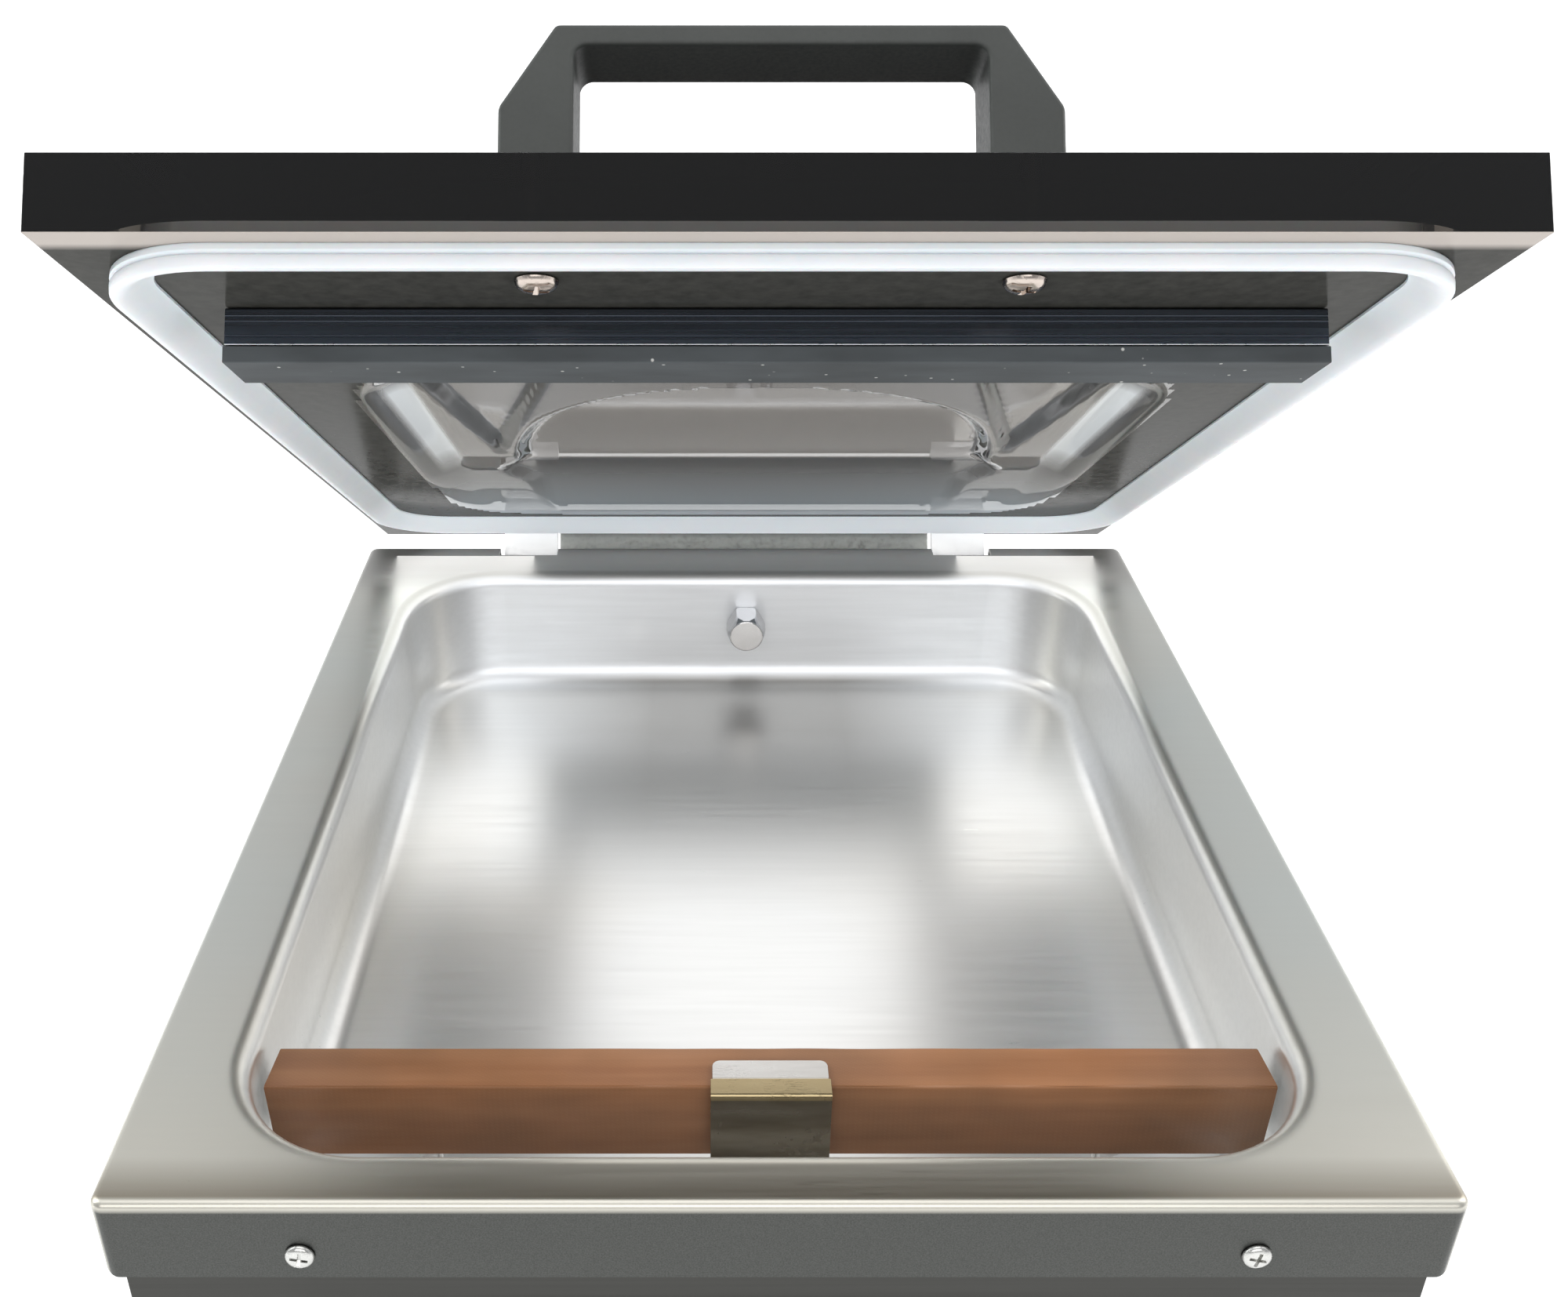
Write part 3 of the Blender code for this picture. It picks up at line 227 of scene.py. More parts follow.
class Surface:
    """A node material under construction. Positions are the object's own, in metres."""

    def __init__(self, name, **sockets):
        self.material = bpy.data.materials.new(name)
        self.material.use_nodes = True
        self.tree = self.material.node_tree
        self.shader = self.tree.nodes["Principled BSDF"]
        for key, value in sockets.items():
            self.shader.inputs[key.replace("_", " ")].default_value = value
        self.place = self.tree.nodes.new("ShaderNodeTexCoord").outputs["Object"]
        self.last_normal = None

    def node(self, kind, **inputs):
        made = self.tree.nodes.new(kind)
        for key, value in inputs.items():
            socket = made.inputs[key.replace("_", " ")]
            if isinstance(value, bpy.types.NodeSocket):
                self.tree.links.new(value, socket)
            else:
                socket.default_value = value
        return made

    def stretched(self, stretch, turn=(0, 0, 0)):
        if tuple(stretch) == (1, 1, 1) and tuple(turn) == (0, 0, 0):
            return self.place
        made = self.node("ShaderNodeMapping", Vector=self.place, Scale=stretch, Rotation=turn)
        return made.outputs["Vector"]

    def noise(self, scale, detail=3.0, stretch=(1, 1, 1), turn=(0, 0, 0), roughness=0.55):
        vector = self.stretched(stretch, turn)
        sockets = {"Scale": scale, "Detail": detail, "Roughness": roughness}
        return self.node("ShaderNodeTexNoise", Vector=vector, **sockets).outputs["Fac"]

    def cells(self, scale, stretch=(1, 1, 1), feature="F1"):
        made = self.node("ShaderNodeTexVoronoi", Vector=self.stretched(stretch), Scale=scale)
        made.feature = feature
        return made.outputs["Distance"]

    def wave(self, scale, turn):
        vector = self.stretched((1, 1, 1), turn)
        return self.node("ShaderNodeTexWave", Vector=vector, Scale=scale).outputs["Fac"]

    def remap(self, value, low, high, to_low=0.0, to_high=1.0):
        made = self.node("ShaderNodeMapRange", Value=value)
        for key, number in zip(RANGE_SOCKETS, (low, high, to_low, to_high)):
            made.inputs[key].default_value = number
        return made.outputs["Result"]

    def band(self, value, start, full, hold, end):
        """1 between full and hold, falling to 0 at start and at end."""
        return self.math("MULTIPLY", self.remap(value, start, full), self.remap(value, hold, end, 1.0, 0.0))

    def math(self, operation, first, second):
        made = self.tree.nodes.new("ShaderNodeMath")
        made.operation = operation
        for socket, value in zip(made.inputs, (first, second)):
            if isinstance(value, bpy.types.NodeSocket):
                self.tree.links.new(value, socket)
            else:
                socket.default_value = value
        return made.outputs["Value"]

    def mix(self, factor, first, second):
        """A colour between first and second. Each is three numbers or a colour socket."""
        made = self.tree.nodes.new("ShaderNodeMix")
        made.data_type = "RGBA"
        self.tree.links.new(factor, made.inputs["Factor"])
        for socket, value in zip(made.inputs[6:8], (first, second)):
            if isinstance(value, bpy.types.NodeSocket):
                self.tree.links.new(value, socket)
            else:
                socket.default_value = (*value, 1.0)
        return made.outputs[2]

    def colour(self, value):
        self.tree.links.new(value, self.shader.inputs["Base Color"])

    def roughness(self, value):
        self.tree.links.new(value, self.shader.inputs["Roughness"])

    def bump(self, height, strength, distance):
        made = self.node("ShaderNodeBump", Height=height, Strength=strength, Distance=distance)
        if self.last_normal:
            self.tree.links.new(self.last_normal, made.inputs["Normal"])
        self.last_normal = made.outputs["Normal"]
        self.tree.links.new(self.last_normal, self.shader.inputs["Normal"])

    def edge_distance(self):
        """Distance in from the deck's outline, seen from above."""
        axes = self.node("ShaderNodeSeparateXYZ", Vector=self.place).outputs
        from_side = self.math("SUBTRACT", BODY_WIDTH / 2, self.math("ABSOLUTE", axes["X"], 0.0))
        off_middle = self.math("SUBTRACT", axes["Y"], (BODY_FRONT + BODY_REAR) / 2)
        half_depth = (BODY_REAR - BODY_FRONT) / 2
        from_end = self.math("SUBTRACT", half_depth, self.math("ABSOLUTE", off_middle, 0.0))
        return self.math("MINIMUM", from_side, from_end)

    def scratches(self, scale, stretch, turn, low=0.62, high=0.66):
        """Thin sparse lines, 1 on a scratch and 0 elsewhere."""
        lines = self.noise(scale, 2.0, stretch, turn)
        patches = self.noise(scale * 0.2, 1.0)
        return self.math("MULTIPLY", self.remap(lines, low, high), self.remap(patches, 0.52, 0.60))


# ---------------------------------------------------------------- materials


# Tones of one steel sheet, with light and shade painted in: the chamber painted brighter than the deck, the back
# wall painted lighter, painted shade at the middle back of the floor, at the deck's rear and just behind the front
# bend, the front of the deck painted lighter and warmer, and the lip painted dark.
CHAMBER_STEEL = ((0.80, 0.805, 0.80), (0.80, 0.785, 0.75))
BACK_WALL_PAINTED_LIGHT = (0.92, 0.95, 0.99)
FLOOR_PAINTED_SHADE = (0.38, 0.37, 0.355)  # the darker middle at the back of the chamber floor
DECK_STEEL = ((0.545, 0.570, 0.545), (0.570, 0.552, 0.505))
DECK_FRONT_PAINTED_LIGHT = (0.600, 0.575, 0.505)
DECK_REAR_PAINTED_SHADE = (0.470, 0.462, 0.445)
BEND_PAINTED_SHADE = (0.270, 0.240, 0.190)
STREAK_STEEL = (0.50, 0.50, 0.49)
LIP_PAINTED_SHADE = ((0.054, 0.056, 0.053), (0.086, 0.089, 0.084))


def satin_steel():
    """Pressed stainless with a satin finish, with light and shade painted into its colour: a bright chamber, a
    greyer deck, a dark lip.
    """
    surface = Surface("satin_steel", Metallic=0.92)
    axes = surface.node("ShaderNodeSeparateXYZ", Vector=surface.place).outputs
    from_edge = surface.edge_distance()
    cloud = surface.remap(surface.noise(7.0, 2.0), 0.35, 0.65)
    streaks = surface.remap(surface.noise(420.0, 2.0, (0.04, 1, 1)), 0.3, 0.7)
    # painted light: the chamber is painted brighter than the deck, though both are one sheet
    chamber = surface.mix(cloud, *CHAMBER_STEEL)
    back_wall = surface.remap(axes["Y"], CHAMBER_REAR - 0.012, CHAMBER_REAR - 0.001)
    # painted light: the chamber's back wall is painted lighter and bluer than the rest of the sheet
    chamber = surface.mix(back_wall, chamber, BACK_WALL_PAINTED_LIGHT)
    # painted shade: the middle of the floor's back is painted darker, between the lighter sides
    on_floor = surface.remap(axes["Z"], FLOOR_Z + 0.0010, FLOOR_Z + 0.0045, 1.0, 0.0)
    rearward = surface.remap(axes["Y"], CHAMBER_REAR - 0.165, CHAMBER_REAR - 0.045)
    sideways = surface.math("ABSOLUTE", axes["X"], 0.0)
    between = surface.remap(sideways, 0.040, 0.112, 1.0, 0.0)
    floor_shade = surface.math("MULTIPLY", on_floor, surface.math("MULTIPLY", rearward, between))
    chamber = surface.mix(floor_shade, chamber, FLOOR_PAINTED_SHADE)
    deck = surface.mix(cloud, *DECK_STEEL)
    # painted light: the front of the deck is painted lighter and warmer
    ahead = surface.remap(axes["Y"], BODY_FRONT + 0.015, BODY_FRONT + 0.090, 0.8, 0.0)
    deck = surface.mix(ahead, deck, DECK_FRONT_PAINTED_LIGHT)
    # painted shade: the rear of the deck is painted darker
    rear = surface.remap(axes["Y"], CHAMBER_REAR - 0.020, CHAMBER_REAR + 0.006)
    deck = surface.mix(rear, deck, DECK_REAR_PAINTED_SHADE)
    # painted shade: a darker strip is painted on the deck just behind the front bend
    front = surface.remap(axes["Y"], BODY_FRONT + 0.0030, BODY_FRONT + 0.0150, 0.92, 0.0)
    before_bend = surface.remap(axes["Y"], BODY_FRONT + 0.0014, BODY_FRONT + 0.0026)
    deck = surface.mix(surface.math("MULTIPLY", front, before_bend), deck, BEND_PAINTED_SHADE)
    in_pit = surface.remap(from_edge, 0.008, 0.010)
    under_deck = surface.remap(axes["Z"], DECK_Z - 0.0030, DECK_Z - 0.0006, 1.0, 0.0)
    base = surface.mix(surface.math("MULTIPLY", in_pit, under_deck), deck, chamber)
    base = surface.mix(surface.math("MULTIPLY", streaks, 0.08), base, STREAK_STEEL)
    # painted shade: the lip, the sheet's front face, is painted dark; its speckle is grain
    below_bend = surface.remap(axes["Z"], DECK_Z - 0.0030, DECK_Z - 0.0012, 1.0, 0.0)
    outside = surface.remap(from_edge, 0.0004, 0.0012, 1.0, 0.0)
    lip = surface.math("MULTIPLY", below_bend, outside)
    speckle = surface.remap(surface.noise(2600.0, 2.0), 0.3, 0.7)
    surface.colour(surface.mix(lip, base, surface.mix(speckle, *LIP_PAINTED_SHADE)))
    scratch = surface.scratches(60.0, (1, 14, 1), (0, 0, radians(24)))
    level = surface.remap(streaks, 0.0, 1.0, 0.31, 0.36)
    level = surface.math("ADD", level, surface.math("MULTIPLY", back_wall, 0.16))
    surface.roughness(surface.math("SUBTRACT", level, surface.math("MULTIPLY", scratch, 0.04)))
    surface.bump(surface.noise(9.0, 1.0), 0.15, 0.0005)
    surface.bump(surface.noise(2200.0, 2.0), 0.10, 0.00002)
    surface.bump(scratch, 0.10, 0.00002)
    return surface.material


def brushed_steel(name, colour, roughness, stretch):
    """Sheet with a long brushed grain."""
    surface = Surface(name, Metallic=1.0)
    streaks = surface.noise(900.0, 3.0, stretch)
    broad = surface.noise(160.0, 2.0, stretch)
    tint = surface.mix(broad, [channel * 0.82 for channel in colour], colour)
    surface.colour(tint)
    surface.roughness(surface.remap(streaks, 0.3, 0.7, roughness - 0.07, roughness + 0.08))
    surface.bump(streaks, 0.35, 0.00005)
    return surface.material


# Painted light on the lid: a pale sheen at the rear of its lower part and a glint at each side of the hollow.
PAINTED_SHEEN_FROM, PAINTED_SHEEN_FULL = LID_FRONT + 0.262, LID_FRONT + 0.325
GLINT_ACROSS = (0.1075, 0.1095, 0.1160, 0.1185)
GLINT_ALONG = (LID_FRONT + 0.130, LID_FRONT + 0.150, LID_FRONT + 0.235, LID_FRONT + 0.268)
CLEAR_TINT = (0.90, 0.88, 0.86)
SLOPE_SHEEN_TINT = (0.42, 0.48, 0.53)
GLINT_TINT = (0.88, 0.93, 0.96)
SMOKE_COLOUR = (0.17, 0.14, 0.11, 1.0)
SMOKE_DENSITY = 130.0


def smoked_acrylic():
    """Thick tinted acrylic. The tint is in its depth, so thin places are lighter. The rear of its
    lower part, with the hollow's rear slope, is painted a pale bluish sheen, and a glint is painted at each side:
    painted light."""
    surface = Surface("smoked_acrylic", IOR=1.49)
    axes = surface.node("ShaderNodeSeparateXYZ", Vector=surface.place).outputs
    # painted light: a pale bluish sheen painted on the rear of the lower part
    rearward = surface.remap(axes["Y"], PAINTED_SHEEN_FROM, PAINTED_SHEEN_FULL)
    below = surface.remap(axes["Z"], LID_TOP - 0.004, LID_TOP - 0.002, 1.0, 0.0)
    sideways = surface.math("ABSOLUTE", axes["X"], 0.0)
    # painted highlight: a whitish glint painted at each side of the hollow
    across = surface.band(sideways, *GLINT_ACROSS)
    along = surface.band(axes["Y"], *GLINT_ALONG)
    glint = surface.math("MULTIPLY", across, along)
    sheen_and_glint = surface.math("MULTIPLY", surface.math("MAXIMUM", rearward, glint), below)
    tint = surface.mix(glint, SLOPE_SHEEN_TINT, GLINT_TINT)
    surface.colour(surface.mix(sheen_and_glint, CLEAR_TINT, tint))
    clear = surface.math("SUBTRACT", 1.0, surface.math("MULTIPLY", sheen_and_glint, 0.88))
    surface.tree.links.new(clear, surface.shader.inputs["Transmission Weight"])
    surface.roughness(surface.remap(surface.noise(40.0, 3.0), 0.3, 0.7, 0.008, 0.035))
    surface.bump(surface.noise(14.0, 1.0), 0.08, 0.0004)
    absorption = surface.node("ShaderNodeVolumeAbsorption", Color=SMOKE_COLOUR, Density=SMOKE_DENSITY)
    output = surface.tree.nodes["Material Output"]
    surface.tree.links.new(absorption.outputs["Volume"], output.inputs["Volume"])
    return surface.material


def dull_acrylic():
    """The lid's flat underside: rubbed dull and dusty, and painted paler in front of the gasket, which is painted
    light.
    """
    surface = Surface("smoked_acrylic_dull", IOR=1.17, Specular_IOR_Level=0.10)
    axes = surface.node("ShaderNodeSeparateXYZ", Vector=surface.place).outputs
    dust = surface.remap(surface.noise(260.0, 4.0), 0.3, 0.7)
    base = surface.mix(dust, (0.038, 0.038, 0.034), (0.056, 0.055, 0.050))
    # painted light: a paler strip is painted along the underside's front edge
    ahead = surface.remap(axes["Y"], LID_FRONT + 0.0070, LID_FRONT + 0.0110, 1.0, 0.0)
    surface.colour(surface.mix(ahead, base, (0.50, 0.455, 0.42)))
    surface.roughness(surface.remap(dust, 0.0, 1.0, 0.10, 0.20))
    return surface.material


def silicone():
    """Cloudy white silicone with painted light: it glows, more strongly towards the rear, though no lamp is in it.
    """
    surface = Surface("white_silicone", Subsurface_Weight=0.25, Subsurface_Scale=0.004, IOR=1.43)
    # painted light: emission makes the silicone glowing, more strongly towards the rear
    surface.shader.inputs["Emission Color"].default_value = (0.86, 0.93, 1.0, 1.0)
    station = surface.node("ShaderNodeSeparateXYZ", Vector=surface.place).outputs["Y"]
    painted_glow = surface.remap(station, LID_FRONT + 0.300, LID_FRONT + 0.352, 0.02, 0.32)
    surface.tree.links.new(painted_glow, surface.shader.inputs["Emission Strength"])
    cloud = surface.remap(surface.noise(60.0, 3.0), 0.35, 0.65)
    surface.colour(surface.mix(cloud, (0.74, 0.79, 0.83), (0.78, 0.81, 0.84)))
    surface.roughness(surface.remap(surface.noise(400.0, 2.0), 0.3, 0.7, 0.30, 0.44))
    surface.bump(surface.noise(900.0, 2.0), 0.10, 0.00004)
    return surface.material


def anodised(along):
    """Dark anodised extrusion with drawing lines along it. along is the stretch that runs with them."""
    surface = Surface("dark_anodised", Metallic=0.9)
    lines = surface.noise(1100.0, 2.0, along)
    broad = surface.remap(surface.noise(60.0, 2.0, along), 0.35, 0.65)
    surface.colour(surface.mix(broad, (0.040, 0.050, 0.066), (0.076, 0.086, 0.104)))
    surface.roughness(surface.remap(lines, 0.3, 0.7, 0.20, 0.34))
    surface.bump(lines, 0.10, 0.00002)
    return surface.material


def shades(colour, darker, lighter):
    """The colour made darker and made lighter."""
    return [[channel * factor for channel in colour] for factor in (darker, lighter)]


def rubber(name, colour, dusty):
    """Matt black rubber, with specks of dust where dusty is above 0."""
    surface = Surface(name, Roughness=0.75)
    cloud = surface.remap(surface.noise(90.0, 3.0, (0.3, 1, 1)), 0.3, 0.7)
    base = surface.mix(cloud, *shades(colour, 0.75, 1.25))
    specks = surface.remap(surface.cells(210.0), 0.070, 0.110, 1.0, 0.0)
    sparse = surface.remap(surface.noise(90.0, 1.0), 0.44, 0.50, 0.0, dusty)
    surface.colour(surface.mix(surface.math("MULTIPLY", specks, sparse), base, (0.62, 0.62, 0.60)))
    surface.bump(surface.noise(1400.0, 2.0), 0.25, 0.00005)
    return surface.material


def moulded_plastic(name, colour, roughness, grain=900.0, depth=0.00006, sockets=None):
    """Moulded plastic with a fine spark-eroded grain."""
    surface = Surface(name, **(sockets or {}))
    cloud = surface.remap(surface.noise(35.0, 3.0), 0.3, 0.7)
    surface.colour(surface.mix(cloud, *shades(colour, 0.88, 1.10)))
    texture = surface.noise(grain, 3.0)
    surface.roughness(surface.remap(texture, 0.3, 0.7, roughness - 0.06, roughness + 0.08))
    surface.bump(texture, 0.35, depth)
    return surface.material


def ptfe_cloth():
    """Brown PTFE-coated glass cloth: a fine slanting weave under a smooth coat, darker in streaks."""
    surface = Surface("ptfe_cloth", Coat_Weight=0.22, Coat_Roughness=0.22)
    warp = surface.wave(430.0, (0, 0, radians(58)))
    weft = surface.wave(430.0, (0, radians(58), radians(-40)))
    weave = surface.math("MULTIPLY", warp, weft)
    streaks = surface.remap(surface.noise(130.0, 4.0, (0.05, 1, 1)), 0.3, 0.7)
    stains = surface.remap(surface.noise(16.0, 3.0, (1, 1, 2)), 0.35, 0.70)
    base = surface.mix(streaks, (0.265, 0.105, 0.040), (0.378, 0.172, 0.076))
    base = surface.mix(surface.math("MULTIPLY", stains, 0.65), base, (0.120, 0.058, 0.024))
    surface.colour(surface.mix(surface.math("MULTIPLY", weave, 0.10), base, (0.38, 0.21, 0.10)))
    surface.roughness(surface.remap(streaks, 0.0, 1.0, 0.36, 0.50))
    surface.bump(surface.noise(45.0, 2.0, (0.5, 1, 1)), 0.30, 0.0005)
    surface.bump(weave, 0.18, 0.00004)
    return surface.material


def plated(name, colour, roughness, wear=0.0, **sockets):
    """Plated or polished metal, with fine random scratches where wear is above 0."""
    surface = Surface(name, **{"Metallic": 1.0, **sockets})
    cloud = surface.remap(surface.noise(120.0, 3.0), 0.3, 0.7)
    surface.colour(surface.mix(cloud, [channel * 0.92 for channel in colour], colour))
    marks = surface.scratches(420.0, (1, 9, 1), (0, 0, radians(35)), 0.58, 0.64)
    level = surface.remap(surface.noise(600.0, 2.0), 0.3, 0.7, roughness * 0.75, roughness * 1.35)
    surface.roughness(surface.math("ADD", level, surface.math("MULTIPLY", marks, wear * 0.25)))
    surface.bump(marks, 0.5 * wear + 0.05, 0.00003)
    return surface.material


def clip_steel():
    """Spring steel, scratched, with light and shade painted in: a bright tab, a beige painted reflection on the
    hem and a dark brownish front plate in painted shade.
    """
    low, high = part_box("bag_clip")
    surface = Surface("clip_steel", Metallic=0.95)
    axes = surface.node("ShaderNodeSeparateXYZ", Vector=surface.place).outputs
    cloud = surface.remap(surface.noise(150.0, 3.0, (0.2, 1, 1)), 0.3, 0.7)
    # Lit and shaded copies of one steel: the tab painted bright, the hem a painted beige reflection, the front
    # plate painted dark in painted shade.
    tab = surface.mix(cloud, (0.66, 0.64, 0.615), (0.86, 0.85, 0.83))
    hem = surface.mix(cloud, (0.31, 0.245, 0.135), (0.42, 0.34, 0.20))
    plate = surface.mix(cloud, (0.135, 0.115, 0.086), (0.205, 0.185, 0.150))
    on_hem = surface.remap(axes["Y"], low.y + 0.0064, low.y + 0.0072, 1.0, 0.0)
    on_plate = surface.remap(axes["Z"], high.z - 0.0026, high.z - 0.0021, 1.0, 0.0)
    surface.colour(surface.mix(on_plate, surface.mix(on_hem, tab, hem), plate))
    marks = surface.scratches(420.0, (1, 9, 1), (0, 0, radians(35)), 0.58, 0.64)
    level = surface.remap(cloud, 0.0, 1.0, 0.20, 0.30)
    surface.roughness(surface.math("ADD", level, surface.math("MULTIPLY", marks, 0.2)))
    surface.bump(marks, 0.3, 0.00003)
    return surface.material


def glass(name, colour):
    surface = Surface(name, Transmission_Weight=1.0, IOR=1.5)
    surface.shader.inputs["Base Color"].default_value = (*colour, 1.0)
    surface.roughness(surface.remap(surface.noise(200.0, 2.0), 0.3, 0.7, 0.01, 0.04))
    return surface.material


def circuit_board():
    """Solder mask with paler tracks."""
    surface = Surface("board_green", Roughness=0.35)
    tracks = surface.remap(surface.cells(160.0, (1, 1, 1.6), "DISTANCE_TO_EDGE"), 0.05, 0.10)
    surface.colour(surface.mix(tracks, (0.10, 0.36, 0.18), (0.03, 0.16, 0.08)))
    surface.bump(tracks, 0.3, 0.00005)
    return surface.material


MATERIALS = {
    "stainless": brushed_steel("stainless", (0.60, 0.60, 0.58), 0.32, (0.02, 1, 1)),
    "cabinet_steel": brushed_steel("cabinet_steel", (0.064, 0.064, 0.060), 0.36, (0.012, 0.012, 1)),
    "smoked_acrylic": smoked_acrylic(),
    "white_silicone": silicone(),
    "dark_anodised": anodised((1, 1, 0.01)),
    "black_rubber": rubber("black_rubber", (0.040, 0.040, 0.037), 0.0),
    "grey_plastic": moulded_plastic("grey_plastic", (0.043, 0.047, 0.044), 0.52),
    "ptfe_cloth": ptfe_cloth(),
    "aluminium": plated("aluminium", (0.74, 0.74, 0.74), 0.32, 0.4),
    "nichrome": plated("nichrome", (0.45, 0.43, 0.41), 0.32, 0.2),
    "chrome": plated("chrome", (0.84, 0.84, 0.84), 0.07, 0.1),
    "zinc_steel": plated("zinc_steel", (0.60, 0.60, 0.58), 0.26, 0.7),
    "black_plastic": moulded_plastic("black_plastic", (0.022, 0.022, 0.024), 0.45),
    "display_glass": moulded_plastic("display_glass", (0.020, 0.010, 0.010), 0.10, 300.0, 0.00001),
    "key_plastic": moulded_plastic("key_plastic", (0.27, 0.29, 0.31), 0.48),
    "rocker_red": moulded_plastic("rocker_red", (0.48, 0.035, 0.028), 0.30, 500.0, 0.00002),
    "dial_white": moulded_plastic("dial_white", (0.80, 0.80, 0.77), 0.40, 500.0, 0.00002),
    "clear_lens": glass("clear_lens", (0.95, 0.97, 0.98)),
    "cast_grey": moulded_plastic("cast_grey", (0.20, 0.215, 0.23), 0.50, 300.0, 0.00020),
    "board_green": circuit_board(),
    "hose_clear": moulded_plastic("hose_clear", (0.66, 0.71, 0.73), 0.30, 200.0, 0.00002),
}
SATIN_STEEL = satin_steel()
# painted light: the hinge straps are painted white and glowing
STRAP_PAINTED_GLOW = plated("strap_steel", (1.0, 1.0, 1.0), 0.35, 0.5, Metallic=0.2, Emission_Strength=0.3)
NICKEL = plated("nickel", (0.60, 0.60, 0.61), 0.12, 0.2)
SCREW_NICKEL = plated("screw_nickel", (0.56, 0.49, 0.44), 0.16, 0.4)
BRIDGE_STEEL = plated("bridge_steel", (0.40, 0.41, 0.39), 0.45, 0.3)
DULL_ACRYLIC = dull_acrylic()
# painted highlight: bright metal for the strip along the counter bar's lower edge
EDGE_HIGHLIGHT_METAL = plated("painted_edge_highlight", (0.80, 0.82, 0.84), 0.30, 0.2)
DUSTY_RUBBER = rubber("dusty_rubber", (0.062, 0.070, 0.076), 0.95)
CLIP_STEEL = clip_steel()


SPECIAL = {
    "hinge_strap_left": STRAP_PAINTED_GLOW,
    "hinge_strap_right": STRAP_PAINTED_GLOW,
    "hinge_bridge": BRIDGE_STEEL,
}


def finish_cad_nodes():
    """Every CAD node gets its slot's material, welded and slightly rounded edges."""
    for entry in frame["record"]["subparts"]:
        node = NODES[entry["node"]]
        material = SPECIAL.get(entry["node"], MATERIALS[entry["material_slot"]])
        node.material_slots[0].material = material
        low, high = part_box(entry["node"])
        weld = node.modifiers.new("weld", "WELD")
        weld.merge_threshold = 0.000002
        bevel = node.modifiers.new("rounded edges", "BEVEL")
        bevel.width = min(0.0003, 0.12 * min(high - low))
        bevel.segments = 2
        bevel.limit_method = "ANGLE"
        bevel.angle_limit = radians(40)
        node.modifiers.new("flat faces stay flat", "WEIGHTED_NORMAL")


# ---------------------------------------------------------------- deck and chamber


def lip_rise(point, radius=0.004):
    """How far the lip's lower edge is rounded up at its corners."""
    from_side = BODY_WIDTH / 2 - abs(point[0])
    from_end = (BODY_REAR - BODY_FRONT) / 2 - abs(point[1] - (BODY_FRONT + BODY_REAR) / 2)
    along = max(from_side, from_end)
    return radius - sqrt(radius**2 - (radius - along) ** 2) if along < radius else 0.0


def tub_rings():
    """Lip, bend, deck, rolled rim, wall, fillet and a floor with a very slight crown."""
    deck_middle = (0, (BODY_FRONT + BODY_REAR) / 2)
    pit_middle = (0, (CHAMBER_FRONT + CHAMBER_REAR) / 2)
    depth, pit_depth = BODY_REAR - BODY_FRONT, CHAMBER_REAR - CHAMBER_FRONT
    bend, corner, roll, fillet, crown = 0.0020, 0.0035, 0.0055, 0.009, 0.0004
    margins = (0.0040, 0.0025, 0.0012, 0.0004)
    flat_margin = 0.0009  # keeps the deck's shading flat right up to its bends
    rings = []

    def body_ring(inset):
        return rounded(BODY_WIDTH - 2 * inset, depth - 2 * inset, corner - inset, deck_middle, 14, margins)

    def pit_ring(spread):
        width, length = CHAMBER_WIDTH + 2 * spread, pit_depth + 2 * spread
        return rounded(width, length, CHAMBER_CORNER + spread, pit_middle, 14, margins)

    rings.append([(x, y, LIP_LOW + lip_rise((x, y))) for x, y in body_ring(0)])
    rings.append(ring_at(body_ring(0), LIP_LOW + 0.0045))
    for step in range(7):
        angle = pi / 2 * step / 6
        rings.append(ring_at(body_ring(bend * (1 - cos(angle))), DECK_Z - bend * (1 - sin(angle))))
    rings.append(ring_at(body_ring(bend + flat_margin), DECK_Z))
    rings.append(ring_at(pit_ring(roll + flat_margin), DECK_Z))
    for step in range(11):
        angle = pi / 2 * step / 10
        rings.append(ring_at(pit_ring(roll * (1 - sin(angle))), DECK_Z - roll * (1 - cos(angle))))
    for step in range(9):
        angle = pi / 2 * step / 8
        rings.append(ring_at(pit_ring(-fillet * (1 - cos(angle))), FLOOR_Z + fillet * (1 - sin(angle))))
    for inset in (0.012, 0.017, 0.024, 0.0325):
        share = (inset - fillet) / (0.0325 - fillet)
        rings.append(ring_at(pit_ring(-inset), FLOOR_Z + crown * share * share * (3 - 2 * share)))
    return rings


